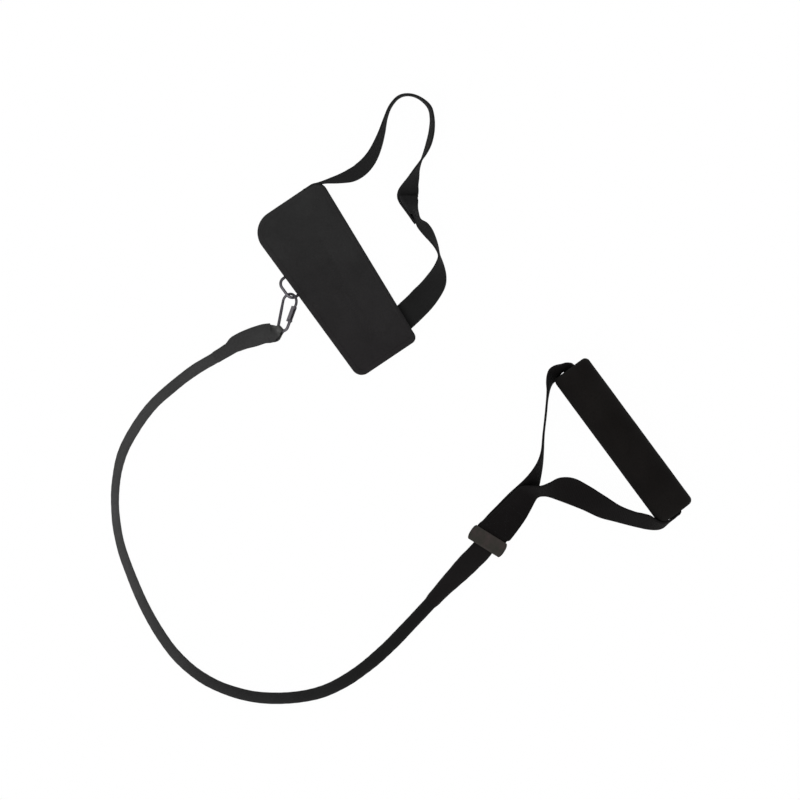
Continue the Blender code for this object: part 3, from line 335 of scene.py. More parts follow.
class Nodes:
    """Short words for building the node tree of a material or the world."""

    def __init__(self, owner):
        owner.use_nodes = True
        self.owner, self.tree = owner, owner.node_tree

    def add(self, kind, inputs=None, **settings):
        made = self.tree.nodes.new("ShaderNode" + kind)
        for key, value in settings.items():
            setattr(made, key, value)
        for key, value in (inputs or {}).items():
            self.put(made.inputs[key], value)
        return made.outputs[0] if made.outputs else made

    def put(self, socket, value):
        if isinstance(value, bpy.types.NodeSocket):
            self.tree.links.new(value, socket)
        else:
            socket.default_value = (*value, 1.0) if socket.type == "RGBA" else value

    def sum(self, operation, a, b=0.0):
        return self.add("Math", {0: a, 1: b}, operation=operation)

    def times(self, a, b):
        return self.sum("MULTIPLY", a, b)

    def mix(self, share, a, b):
        return self.add("Mix", {0: share, 6: a, 7: b}, data_type="RGBA").node.outputs[2]

    def ranged(self, value, low=0.0, high=1.0, to_low=0.0, to_high=1.0):
        return self.add("MapRange", {"Value": value, "From Min": low, "From Max": high, "To Min": to_low,
                                     "To Max": to_high})

    def split(self, vector):
        return self.add("SeparateXYZ", {0: vector}).node.outputs

    def uv(self):
        return self.split(self.add("UVMap", uv_map="UVMap"))[:2]

    def place(self):
        """Object coordinates, which are the model's own metres."""
        return self.add("TexCoord").node.outputs["Object"]

    def wear(self):
        return self.add("Attribute", attribute_name="wear").node.outputs["Fac"]

    def noise(self, scale, detail=3.0, rough=0.6):
        return self.add("TexNoise", {"Vector": self.place(), "Scale": scale, "Detail": detail,
                                     "Roughness": rough})

    def wave(self, at, pitch, shift=0.0):
        """|sin(pi x / pitch + shift)|, one hump for each pitch of x."""
        turned = self.add("Math", {0: at, 1: math.pi / pitch, 2: shift}, operation="MULTIPLY_ADD")
        return self.sum("ABSOLUTE", self.sum("SINE", turned))

    def surface(self, base, roughness, height, depth, specular=0.2, metallic=0.0, sheen=0.0):
        """The finished look, with the height as a bump of that depth."""
        normal = self.add("Bump", {"Distance": depth, "Strength": 1.0, "Height": height})
        for key, value in {"Base Color": base, "Roughness": roughness, "Specular IOR Level": specular,
                           "Metallic": metallic, "Sheen Weight": sheen, "Sheen Roughness": 0.6,
                           "Normal": normal}.items():
            self.put(self.tree.nodes["Principled BSDF"].inputs[key], value)
        return self.owner


def weave(n, kind, pitch):
    """Height of a weave from 0 to 1. plain: threads over and under; ribs: raised picks across a tape;
    twill: slanting threads; knit: small round holes."""
    u, v = n.uv()
    if kind == "ribs":
        return n.sum("ADD", n.times(n.wave(v, pitch), 0.75), n.times(n.wave(u, pitch * 0.62), 0.25))
    if kind == "twill":
        return n.wave(n.sum("ADD", u, n.times(v, 0.55)), pitch)
    first, second = n.wave(u, pitch), n.wave(v, pitch)
    if kind == "knit":
        return n.times(first, second)
    return n.sum("MAXIMUM", n.times(first, n.wave(v, pitch * 2)),
                 n.times(second, n.wave(v, pitch * 2, math.pi / 2)))


def cloth(name, base, kind, pitch, depth, roughness=0.9, specular=0.05, sheen=0.02, worn_and_glint=(52, 52, 54),
          painted_light_ramp=None):
    """Woven cloth: its colour is painted darker between the threads as shade, uneven over the piece, paler
    where worn or at a painted highlight, and painted lighter or darker by a ramp when one is given.
    """
    n = Nodes(bpy.data.materials.new(name))
    height = weave(n, kind, pitch)
    tint = painted_light_ramp(n) if painted_light_ramp else base
    # Painted shade: the colour between the threads is painted darker.
    gap_shade = n.mix(0.45, tint, (0.0, 0.0, 0.0)) if painted_light_ramp else tuple(c * 0.55 for c in base)
    patch = n.ranged(n.noise(38.0), 0.3, 0.75, 0.86, 1.12)
    fine = n.ranged(n.noise(900.0, 2.0), 0.3, 0.7, 0.88, 1.1)
    woven = n.add("VectorMath", {0: n.mix(height, gap_shade, tint), "Scale": n.times(patch, fine)},
                  operation="SCALE")
    scuffed_and_glint = n.times(n.wear(), n.ranged(n.noise(260.0), 0.35, 0.7, 0.2, 1.0))
    rough = n.ranged(height, to_low=min(roughness + 0.08, 1.0), to_high=roughness - 0.05)
    relief = n.sum("ADD", height, n.times(n.noise(1500.0, 2.0), 0.35))
    return n.surface(n.mix(scuffed_and_glint, woven, colour(*worn_and_glint)), rough, relief, depth, specular, sheen=sheen)


def cuff_painted_light(n):
    """Painted light: the cuff's cloth is painted a little paler towards its upper left end."""
    return n.mix(n.ranged(n.split(n.place())[1], -0.07, 0.06), colour(41, 39, 40), grey(49))


# The cuff's cloth and binding tape carry painted light, paler towards the cuff's upper left end.
CUFF_CLOTH = cloth("cuff_cloth", grey(40), "plain", 0.55, 0.10 * MM, painted_light_ramp=cuff_painted_light)
BINDING_TAPE = cloth("binding_tape", grey(44), "ribs", 0.9, 0.12 * MM, painted_light_ramp=cuff_painted_light)
LINING_CLOTH = cloth("lining_cloth", grey(52), "knit", 1.6, 0.30 * MM, roughness=0.92)
STRAP_WEBBING = cloth("strap_webbing", grey(33), "ribs", 1.1, 0.18 * MM, worn_and_glint=(44, 44, 45))
HANDLE_WEBBING_LOOK = cloth("handle_webbing_weave", colour(24, 22, 22), "ribs", 1.25, 0.2 * MM,
                            specular=0.03, sheen=0.01, worn_and_glint=(32, 31, 32))
THREAD = cloth("sewing_thread", grey(46), "twill", 0.3, 0.05 * MM, roughness=0.8)
DARK_THREAD = cloth("dark_thread", grey(34), "twill", 0.3, 0.05 * MM, roughness=0.8)

# Painted light and shade along the cord: levels from paler at the cuff end to darker at the handle end.
SHEATH_PAINTED_LIGHT_TONES = ((0.0, 66), (0.12, 69), (0.3, 81), (0.45, 72), (0.6, 53), (0.75, 38), (0.88, 30), (1.0, 25))
CORD_LENGTH = 0.490


def sheath_painted_light(n):
    """Painted light and shade: the sheath is painted from charcoal at the cuff to black at the handle, by
    the length in its UV map.
    """
    ramp = n.add("ValToRGB", {0: n.sum("DIVIDE", n.uv()[1], CORD_LENGTH / MM)})
    bar = ramp.node.color_ramp
    bar.interpolation = "B_SPLINE"
    while len(bar.elements) < len(SHEATH_PAINTED_LIGHT_TONES):
        bar.elements.new(0.5)
    for stop, (at, tone) in zip(bar.elements, SHEATH_PAINTED_LIGHT_TONES):
        stop.position = at
        stop.color = (*grey(tone), 1.0)
    return ramp


SHEATH = cloth("sheath_weave", grey(55), "twill", 0.8, 0.16 * MM, roughness=0.85, painted_light_ramp=sheath_painted_light)
# One sleeve cloth in two tones: painted light at the cuff end, painted shade at the handle end, following
# the sheath's ramp.
SLEEVE_CUFF_END_PAINTED_LIGHT = cloth("sleeve_cloth", grey(64), "twill", 0.8, 0.16 * MM, roughness=0.85,
                        # The pale worn colour is a painted highlight, used only on the fold loop's turn.
                        worn_and_glint=(122, 122, 120))
SLEEVE_HANDLE_END_PAINTED_SHADE = cloth("sleeve_cloth_dark", colour(28, 26, 26), "twill", 0.8, 0.16 * MM, roughness=0.85)


def rubber(name, base, roughness, mottle, grain, depth, specular=0.3, worn_and_glint=(90, 88, 86)):
    """Moulded rubber: a fine matt grain and slow clouds of a slightly different tone."""
    n = Nodes(bpy.data.materials.new(name))
    cloud = n.ranged(n.noise(150.0, 4.0), 0.3, 0.7)
    final = n.mix(n.times(n.wear(), 0.6), n.mix(cloud, base, mottle), colour(*worn_and_glint))
    rough = n.ranged(cloud, to_low=roughness - 0.06, to_high=roughness + 0.08)
    return n.surface(final, rough, n.noise(grain, 4.0, 0.7), depth, specular)


COLLAR_RUBBER = rubber("collar_rubber", colour(57, 49, 48), 0.75, colour(42, 44, 39), 1400.0, 0.08 * MM,
                       specular=0.12, worn_and_glint=(74, 70, 68))


def foam():
    """Closed-cell foam skin: small pits from cells of two sizes, painted darker as shade, and a slightly
    dusty bloom.
    """
    n = Nodes(bpy.data.materials.new("grip_foam_skin"))
    base = colour(20, 18, 17)
    pits, dents = (n.ranged(n.add("TexVoronoi", {"Vector": n.place(), "Scale": scale}), high=deepest)
                   for scale, deepest in ((1100.0, 0.5), (420.0, 0.3)))
    height = n.sum("ADD", n.times(pits, 0.6), n.times(dents, 0.4))
    tint = n.mix(n.ranged(n.noise(30.0), 0.35, 0.75), base, colour(26, 24, 23))
    # Painted shade: the pits are painted darker.
    shaded_pits = n.mix(height, tuple(c * 0.5 for c in base), tint)
    final = n.mix(n.times(n.wear(), 0.4), shaded_pits, colour(32, 30, 30))
    return n.surface(final, 0.95, height, 0.10 * MM, 0.05, sheen=0.01)


GRIP_FOAM = foam()


def metal(name, base, roughness):
    """Plated steel: fine scratches in the gloss, a cloudy tone, paler where it rubs."""
    n = Nodes(bpy.data.materials.new(name))
    cloud, fine = n.noise(220.0, 4.0), n.noise(2600.0, 2.0)
    rubbed_and_glint = n.times(n.wear(), n.ranged(cloud, 0.4, 0.6))
    final = n.mix(rubbed_and_glint, base, tuple(min(2.2 * c, 0.6) for c in base))
    rough = n.ranged(fine, 0.3, 0.7, roughness - 0.08, roughness + 0.12)
    height = n.sum("ADD", cloud, n.times(fine, 0.4))
    return n.surface(final, rough, height, 0.02 * MM, 0.5, metallic=1.0)


DARK_STEEL = metal("dark_steel", (0.085, 0.08, 0.09), 0.45)
GATE_STEEL = metal("gate_steel", (0.20, 0.19, 0.205), 0.5)
SPRING_STEEL = metal("spring_steel", (0.33, 0.33, 0.35), 0.3)
FERRULE_METAL = metal("ferrule_metal", (0.42, 0.41, 0.38), 0.36)
TUBE_PLASTIC = rubber("tube_plastic", grey(48), 0.5, grey(42), 700.0, 0.04 * MM)
HOOK_PLASTIC = cloth("hook_plastic", grey(34), "knit", 1.3, 0.45 * MM, roughness=0.55, specular=0.35)
LOOP_PILE = cloth("loop_pile", grey(28), "knit", 0.8, 0.40 * MM, roughness=0.95, sheen=0.2)


# Cuff: u runs along it and v across it towards the strap, both from the middle of its lining

CUFF_TURN = math.radians(-56.1)
CUFF_LENGTH = 141.0 * MM
CUFF_WIDTH_WIDE, CUFF_WIDTH_NARROW = 64.0 * MM, 54.8 * MM
CORNER_RADII = (17.0 * MM, 8.0 * MM, 5.0 * MM, 8.5 * MM)
END_SHIFT, LOW_TRIM = 0.8 * MM, 1.4 * MM
EDGE_HEIGHT, CROWN = 8.4 * MM, 3.06 * MM
TAPE, LINING_TOP = 1.2 * MM, 1.4 * MM
COVER_INSET, SEAM_INSET = TAPE + GAP, 2.2 * MM
U = level(CUFF_TURN)
V = np.cross(UP, U)


def half_width(u):
    """Half the cuff's width at u, in a straight line from the wide end to the narrow one."""
    middle, taper = (CUFF_WIDTH_WIDE + CUFF_WIDTH_NARROW) / 4, (CUFF_WIDTH_WIDE - CUFF_WIDTH_NARROW) / 2
    return middle - taper / CUFF_LENGTH * u


def outline(inset, share=1.0):
    """(u, v) round the cuff: straight sides joined by quarter circles, the same count at every inset."""
    end = CUFF_LENGTH / 2
    arcs = []
    for index, (side_u, side_v) in enumerate(((-1, -1), (1, -1), (1, 1), (-1, 1))):
        radius = max(CORNER_RADII[index] - inset, 0.4 * MM)
        trim = LOW_TRIM if index == 2 else 0.0
        centre = np.array([side_u * (end - inset - radius) + END_SHIFT,
                           side_v * (half_width(side_u * end) - trim - inset - radius)])
        angle = np.radians(180 + 90 * index + np.linspace(0, 90, 15))
        arcs.append(centre + radius * np.column_stack([np.cos(angle), np.sin(angle)]))
    return joined_arcs(arcs, (88, 36)) * share


def stitch_wave(ring):
    """sin(2 pi s / 3 mm), s being how far round the ring a point is."""
    side = running(np.vstack([ring, ring[:1]]))[:-1]
    return np.sin(side / (3.0 * MM) * 2 * np.pi)


def cuff_ring(uv, height):
    """A ring of the outline's points, all at one height."""
    return on_cuff(uv, np.full(len(uv), height))


def on_cuff(uv, height):
    """The point u along the cuff, v across it and this high: u U + v V + height UP."""
    return uv[..., :1] * U + uv[..., 1:] * V + np.asarray(height)[..., None] * UP


def cuff_height(uv):
    """The top of the cuff before its seam and creases. What is left of the crown at a place is
    (1 - |u|^5)(1 - |v|^3.2), u and v being shares of the way out."""
    across = np.abs(uv[..., 1]) / (half_width(uv[..., 0]) - COVER_INSET)
    along = np.abs(uv[..., 0]) / (CUFF_LENGTH / 2 - COVER_INSET)
    return EDGE_HEIGHT + CROWN * np.clip(1 - along**5, 0, 1) * np.clip(1 - across**3.2, 0, 1)


def rounded_off(depth):
    """How far the cover's top drops towards its edge: 1.1 mm (1 - d / 2 mm)^2."""
    return 1.1 * MM * (1 - np.clip(depth / (2.0 * MM), 0, 1)) ** 2


def cover_top():
    """Rings of the cover's upper side from its edge to its middle. Near the seam the cloth dips and is
    gathered a little between the stitches; further in it is slightly uneven."""
    reach = np.concatenate([np.linspace(0, 8 * MM, 15), np.linspace(9.5 * MM, 22 * MM, 9)])
    rings = [outline(COVER_INSET + step) for step in reach]
    uv = np.stack(rings + [rings[-1] * share for share in (0.86, 0.7, 0.52, 0.34, 0.18, 0.08)])
    depth = np.concatenate([reach, np.full(6, 30 * MM)])[:, None]
    u, v = uv[..., 0], uv[..., 1]
    gather = stitch_wave(rings[0])[None] * bump(depth, 3.0 * MM, 2.2 * MM) * 0.05 * MM
    seam = -0.10 * MM * bump(depth, 2.2 * MM, 1.4 * MM)
    slack = uneven(u / (46 * MM), v / (30 * MM), 5) * 0.42 * MM * soft_step(depth / (14 * MM))
    crease = uneven(u / (13 * MM), v / (34 * MM), 11, 5) * 0.16 * MM * soft_step(depth / (10 * MM))
    return uv, cuff_height(uv) + (gather + seam + slack + crease) - rounded_off(depth)


def cuff_cover():
    """The padded body: the crowned upper side, a straight side, and a flat underside on the lining."""
    uv, height = cover_top()
    floor = LINING_TOP + GAP
    rings = [on_cuff(ring, rise) for ring, rise in zip(uv[::-1], height[::-1])]
    rings += [cuff_ring(uv[0], z) for z in (6.4 * MM, 4.0 * MM, 2.4 * MM, floor + 0.3 * MM)]
    rings.append(cuff_ring(outline(COVER_INSET + 0.3 * MM), floor))
    rings += [cuff_ring(outline(COVER_INSET + 9 * MM, share), floor) for share in (1.0, 0.6, 0.2)]
    return shell(np.stack(rings))


def tape_ring():
    """The tape over the edge: up from the floor, round the top edge and a little way in over the cover.
    Each pair is an inset and a height, over the floor outside and over the cover on top, in millimetres."""
    wave = stitch_wave(outline(0.0)) * 0.05 * MM
    outside = [(1.2, 0.3), (0.75, 0.06), (0.35, 0.12), (0.1, 0.5), (0.0, 1.4), (-0.12, 3.2), (-0.14, 5.0),
               (0.0, 6.6), (0.2, 7.3), (0.6, 7.9), (1.1, 8.25)]
    over = [(1.6, 0.25), (2.1, 0.32), (2.6, 0.36), (3.1, 0.34), (3.5, 0.24), (3.7, 0.1)]
    rings = [cuff_ring(outline(inset * MM), z * MM) for inset, z in outside]
    for inset, rise in over + [(inset, None) for inset in (3.5, 2.8, 2.2, 1.7)]:
        place = outline(inset * MM)
        top = cuff_height(place)
        lift = top - rounded_off(inset * MM - COVER_INSET) + 0.12 * MM
        if rise is not None:
            stitched = -0.12 * MM * bump(inset * MM, SEAM_INSET, 0.5 * MM)
            lift = np.maximum(top + rise * MM + wave + stitched, lift)
        rings.append(on_cuff(place, lift))
    rings += [cuff_ring(outline(TAPE), z * MM) for z in (7.0, 5.0, 2.5)]
    return shell(np.stack(rings), "joined")


# The ring's bar lies in a slot in the cuff's edge

RING_PLACE, RING_INSET, RING_HEIGHT = -14.6 * MM, 1.9 * MM, 4.6 * MM
RING_WIRE, RING_INSIDE, RING_DEPTH, RING_CORNER = 2.2 * MM, 14.4 * MM, 9.0 * MM, 5.0 * MM
PLATING = 0.02 * MM
RING_LIFT = math.radians(15.9)
RING_BAR = U * RING_PLACE + V * (RING_INSET - half_width(RING_PLACE)) + UP * RING_HEIGHT
EDGE_SLOPE = math.atan2((CUFF_WIDTH_WIDE - CUFF_WIDTH_NARROW) / 2, CUFF_LENGTH)
RING_ALONG = spin(U, V, EDGE_SLOPE)
RING_LEVEL = unit(np.cross(RING_ALONG, UP))
RING_OUT = spin(RING_LEVEL, UP, RING_LIFT)
RING_HALF = (RING_INSIDE + RING_WIRE) / 2
SLOT_LENGTH, SLOT_HEIGHT, SLOT_BACK, SLOT_FRONT = 20.0 * MM, 5.8 * MM, 9.9 * MM, 8.0 * MM


def slotted(obj):
    """Cuts the ring's slot out of a finished piece with an exact Boolean, and applies it."""
    sign = np.array([(a, b, c) for a in (-1, 1) for b in (-1, 1) for c in (-1, 1)], float)
    reach = np.where(sign[:, 1] > 0, SLOT_FRONT, -SLOT_BACK)
    corners = RING_BAR + RING_ALONG * (SLOT_LENGTH / 2 * sign[:, :1]) + RING_LEVEL * reach[:, None] \
        + UP * (SLOT_HEIGHT / 2 * sign[:, 2:])
    faces = [(0, 1, 3, 2), (4, 6, 7, 5), (0, 4, 5, 1), (2, 3, 7, 6), (0, 2, 6, 4), (1, 5, 7, 3)]
    mesh = bpy.data.meshes.new("slot")
    mesh.from_pydata(corners, [], faces)
    cutter = show("slot", mesh)
    change = obj.modifiers.new("slot", "BOOLEAN")
    change.operation = "DIFFERENCE"
    change.object = cutter
    finished = obj.evaluated_get(bpy.context.evaluated_depsgraph_get())
    made = bpy.data.meshes.new_from_object(finished)
    obj.modifiers.clear()
    obj.data = made
    bpy.data.objects.remove(cutter)
    return obj


def ring_tab():
    """The tab folded round the bar: an outer and an inner half circle with two straight tails, each
    (out, lift), carried along the ring's bar."""
    inner, outer, tail, span = 1.36 * MM, 2.15 * MM, 9.6 * MM, 13.0 * MM
    back = np.linspace(-tail, 0, 7)[:-1]

    def fold(radius, side):
        """A straight tail, a half circle of this radius, and the other tail."""
        turn = np.linspace(np.pi / 2, -np.pi / 2, 13)[::side]
        return [np.column_stack([back, np.full(6, side * radius)]),
                np.column_stack([radius * np.cos(turn), radius * np.sin(turn)]),
                np.column_stack([back[::-1], np.full(6, -side * radius)])]

    section = np.vstack(fold(outer, 1) + fold(inner, -1))
    along = np.linspace(-span / 2, span / 2, 14)[:, None, None]
    return shell(RING_BAR + RING_ALONG * along + RING_LEVEL * section[:, :1] + UP * section[:, 1:])


def d_ring():
    """The ring's wire: the straight bar, two tight corners and a bow with two round ones."""
    tight, bend = (RING_WIRE, RING_WIRE, 10), (RING_CORNER, RING_DEPTH - RING_CORNER, 16)
    turns = ((-90, 1, tight), (0, 1, bend), (90, -1, bend), (180, -1, tight))
    points = []
    for start, side, (radius, out, count) in turns:
        angle = np.radians(np.linspace(start, start + 90, count))[:, None]
        centre = RING_BAR + RING_ALONG * side * (RING_HALF - radius) + RING_OUT * out
        points.append(centre + spin(RING_ALONG, RING_OUT, angle) * radius)
    line = even_line(np.vstack(points + [points[0][:1]]), 0.5 * MM)[:-1]
    way = unit(np.roll(line, -1, 0) - np.roll(line, 1, 0))
    normal = unit(np.cross(RING_ALONG, RING_OUT))
    across = unit(np.cross(way, normal))
    radius = RING_WIRE / 2 + PLATING
    grid = line[:, None] + spin(across[:, None], normal, full_turn(20)[None, :, None]) * radius
    place = (line - RING_BAR) @ RING_OUT
    return shell(grid, "joined", wear=soft_step(place / RING_DEPTH * 1.4 - 0.5)[:, None] * 0.5)


# Link: p runs from the ring to the cord, q across it, n square to its plane

LINK_WIRE, LINK_TOP_RADIUS, LINK_FOOT_RADIUS, LINK_LENGTH = 2.0 * MM, 6.4 * MM, 4.6 * MM, 28.5 * MM
LINK_TURN, LINK_ROLL, LINK_PITCH = math.radians(-105.5), math.radians(38.0), math.radians(-1.8)
GATE_NOSE, GATE_PIVOT = 8.4 * MM, 19.5 * MM
CORNER_PLACE = math.sqrt(0.5) * RING_CORNER - RING_CORNER
CORNER_POINT = RING_BAR + RING_ALONG * (RING_HALF + CORNER_PLACE) + RING_OUT * (RING_DEPTH + CORNER_PLACE)
LINK_LEVEL_P = level(LINK_TURN)
LINK_LEVEL_Q = np.cross(UP, LINK_LEVEL_P)
LINK_P = spin(LINK_LEVEL_P, UP, LINK_PITCH)
LINK_Q = spin(LINK_LEVEL_Q, np.cross(LINK_P, LINK_LEVEL_Q), LINK_ROLL)
LINK_N = np.cross(LINK_P, LINK_Q)
LINK_SEAT, LINK_RISE = 2.53 * MM, 0.1 * MM
LINK_TOP = CORNER_POINT - unit(RING_ALONG + RING_LEVEL) * LINK_SEAT + UP * LINK_RISE
LEG_SWELL, SWELL_START, SWELL_LENGTH = 0.12, 9.0 * MM, 4.0 * MM


def on_link(p, q):
    """The point p along the link and q across it: top + p P + q Q."""
    return LINK_TOP + LINK_P * p + LINK_Q * q


def leg_offset(p):
    """A leg's distance from the middle line: straight from the top's radius to the foot's."""
    share = (p - LINK_TOP_RADIUS) / (LINK_LENGTH - LINK_FOOT_RADIUS - LINK_TOP_RADIUS)
    return LINK_TOP_RADIUS + (LINK_FOOT_RADIUS - LINK_TOP_RADIUS) * share


def link_arc(p, radius, start, end, count):
    """Part of a circle about p on the link: centre + r (P cos(a) + Q sin(a)), a in degrees."""
    angle = np.radians(np.linspace(start, end, count))[:, None]
    return on_link(p, 0) + spin(LINK_P, LINK_Q, angle) * radius


def link_wire():
    """The bent wire: from the gate's pivot round the foot, up the closed leg, round the top to the nose.
    Away from the ring it is a little thicker."""
    below, above, nose = (on_link(p, leg_offset(p))
                          for p in (GATE_PIVOT - 0.6 * MM, GATE_PIVOT + 1.5 * MM, GATE_NOSE + 0.9 * MM))
    foot = link_arc(LINK_LENGTH - LINK_FOOT_RADIUS, LINK_FOOT_RADIUS, 90, -90, 28)
    top = link_arc(LINK_TOP_RADIUS, LINK_TOP_RADIUS, -90, -270, 32)
    bent = even_line(np.vstack([below, above, foot, top, nose]), 0.45 * MM)
    line, radii = round_ended(bent, LINK_WIRE / 2 + PLATING)
    away = soft_step(((line - LINK_TOP) @ LINK_P - SWELL_START) / SWELL_LENGTH)
    radii = radii * (1 + LEG_SWELL * away)
    whole = running(line)
    rub_and_glint = bump(whole, whole[-1] * 0.66, 5 * MM) + bump(whole, whole[-1] * 0.16, 5 * MM)
    return tube(line, radii, 20, LINK_N, wear=rub_and_glint[:, None] * 0.7)


PIN_CENTRE = on_link(GATE_PIVOT, leg_offset(GATE_PIVOT))
GATE_P = unit(PIN_CENTRE - on_link(GATE_NOSE, leg_offset(GATE_NOSE)))
GATE_Q = unit(np.cross(LINK_N, GATE_P))


def rivet():
    """A turned pin: (radius, place) pairs spun round the pivot's axis, with a domed head at each end."""
    cheek, shank = 1.75 * MM, 0.5 * MM
    rise = np.array([0.30, 0.27, 0.18, 0.04, 0.0]) * MM
    wide = np.array([0.12, 0.45, 0.75, 0.9, 0.9]) * MM
    place = np.concatenate([-cheek - rise, [-cheek, cheek], (cheek + rise)[::-1]])[:, None, None]
    size = np.concatenate([wide, [shank, shank], wide[::-1]])[:, None, None]
    grid = PIN_CENTRE + LINK_N * place + spin(GATE_P, GATE_Q, full_turn(24)[None, :, None]) * size
    return shell(grid, wear=0.3)


# Ribbons: a station gives the foot edge's x, y and height and the other edge's x and y, in millimetres,
# and a share of the width where the ribbon is gathered. The width that the plan doesn't show stands up.

STRAP_WIDTH, STRAP_THICK = 20.0 * MM, 1.6 * MM
PATCH_THICK, PATCH_GAP = 0.6 * MM, 0.2 * MM

STRAP_UPPER = [
    (-24.5, 66.3, 0.4, -24.6, 66.9, 0.42), (-17.3, 70.0, 0.4, -17.5, 70.8, 0.42),
    (-9.6, 72.4, 0.4, -10.0, 73.4, 0.45), (2.5, 72.6, 0.4, 0.7, 77.9, 0.62),
    (13.4, 73.9, 0.4, 8.9, 82.2, 0.85), (22.4, 79.2, 0.4, 15.2, 86.3), (29.2, 87.6, 0.4, 22.2, 93.0),
    (33.5, 98.0, 0.4, 27.2, 100.4), (36.2, 109.5, 0.4, 32.2, 110.6), (38.0, 120.8, 0.4, 36.4, 121.3),
    (41.2, 129.5, 0.4, 40.4, 130.2), (47.0, 136.3, 0.4, 46.7, 137.0), (54.5, 138.3, 0.4, 54.5, 138.6),
    (62.5, 135.6, 0.4, 62.8, 136.2), (69.0, 129.0, 0.4, 70.5, 130.0), (70.8, 121.0, 0.4, 73.1, 121.5),
    (70.0, 111.5, 0.4, 73.3, 111.5), (68.0, 103.0, 0.4, 71.4, 102.2), (66.2, 96.4, 0.4, 68.2, 95.4),
    (64.2, 90.2, 0.4, 64.3, 89.9), (63.0, 86.3, 0.4, 61.6, 86.3),
]
CLOSURE = [
    (62.2, 81.8, 0.4, 57.8, 81.4), (62.1, 76.6, 0.4, 53.6, 75.8), (61.6, 71.2, 0.4, 49.2, 70.6),
    (61.8, 66.6, 0.4, 46.5, 66.4), (61.2, 62.4, 0.4, 45.8, 62.4), (59.4, 58.3, 0.4, 47.3, 57.9),
    (58.2, 53.9, 0.4, 50.6, 53.3), (58.4, 49.6, 0.4, 54.4, 48.4), (59.0, 45.6, 0.4, 57.7, 43.7),
    (60.3, 42.8, 0.4, 59.4, 41.6),
]
STRAP_LOWER = [
    (63.1, 45.5, 0.4, 59.5, 43.9), (68.2, 42.4, 0.4, 61.4, 38.9), (71.9, 37.6, 0.4, 65.8, 33.4),
    (74.4, 31.6, 0.4, 70.2, 28.8), (76.2, 25.2, 0.4, 74.1, 24.2), (77.4, 18.6, 0.4, 76.9, 18.5),
    (79.9, 12.6, 0.4, 75.6, 13.6), (82.3, 4.6, 0.4, 72.0, 7.6), (82.3, -3.6, 0.4, 67.3, 1.8),
    (79.0, -11.5, 0.5, 61.7, -4.2), (72.8, -20.4, 0.8, 55.6, -9.8), (65.8, -27.9, 1.0, 50.4, -15.2),
    (58.5, -34.9, 1.2, 46.2, -18.9), (54.2, -38.6, 1.3, 42.4, -22.5),
]
PATCH_FIRST, PATCH_LAST = 4, 7
STRAP_STEPS, ROW_STEP = 12, 1.0 * MM
UNDERLAP = np.array([[3.4], [1.0]]) * MM


def station_edges(stations, width):
    """Both edges at the stations. The top one lies as far over in plan as its row says, and as
    high as the width then leaves: rise = sqrt(width^2 - plan^2)."""
    rows = np.array([(*row, 1.0)[:6] for row in stations])
    foot, plan, wide = rows[:, :3] * MM, (rows[:, 3:5] - rows[:, :2]) * MM, width * rows[:, 5]
    plan = plan * np.minimum(1.0, wide / np.linalg.norm(plan, axis=1))[:, None]
    rise = np.sqrt(np.maximum(wide**2 - (plan**2).sum(1), 0.0))
    return foot, foot + np.column_stack([plan, rise])


def face_normals(foot, top):
    """Square to the ribbon's face: the direction along its middle crossed with the one across."""
    return unit(np.cross(tangents((foot + top) / 2), unit(top - foot)))


def smooth_edges(foot, top, steps):
    """Both edges as smooth curves, the stations' width apart all the way."""
    wide = np.linalg.norm(top - foot, axis=1)
    foot, top = smooth_line(foot, steps), smooth_line(top, steps)
    width = np.interp(np.arange(len(foot)) / steps, np.arange(len(wide)), wide)
    return foot, foot + unit(top - foot) * width[:, None]


def middle_run(foot, top):
    """How far along the ribbon's middle each of its rows is."""
    return running((foot + top) / 2)


def even_edges(foot, top, spacing):
    """The same ribbon with its rows at even distances along its middle."""
    place = middle_run(foot, top)
    at = np.linspace(0, place[-1], round(place[-1] / spacing) + 1)
    return rows_at(at, place, foot), rows_at(at, place, top)


def ribbon(foot, top, thick, across=16, seed=1, soft=0.1):
    """A woven ribbon: at share s of the width its half thickness is that of a flat strip with half round
    edges, h = r sqrt(1 - (1 - e / r)^2) within r of an edge; the surface is foot + (top - foot) s +- hn."""
    normal = face_normals(foot, top)[:, None]
    width = np.linalg.norm(top - foot, axis=1)[:, None]
    share = (1 - np.cos(np.linspace(0, np.pi, across + 1))) / 2
    radius = thick / 2
    inside = np.minimum(share, 1 - share)[None] * width
    near = np.clip(1 - inside / radius, 0, 1)
    half = radius * np.sqrt(np.maximum(1 - near**2, 0.0)) * (1 - soft * bump(inside, 2.2 * MM, 0.8 * MM))
    middle = foot[:, None] + (top - foot)[:, None] * share[None, :, None]
    upper, lower = middle + normal * half[..., None], middle - normal * half[..., None]
    grid = np.concatenate([upper, lower[:, -2:0:-1]], 1)
    edge = bump(inside, 0.0, 0.7 * MM)
    place = middle_run(foot, top)[:, None]
    rubbed_and_glint = 0.45 + 0.35 * uneven(place / (17 * MM), 0.3, seed + 9)
    return shell(grid, wear=np.clip(np.concatenate([edge, edge[:, -2:0:-1]], 1) * rubbed_and_glint, 0, 1))


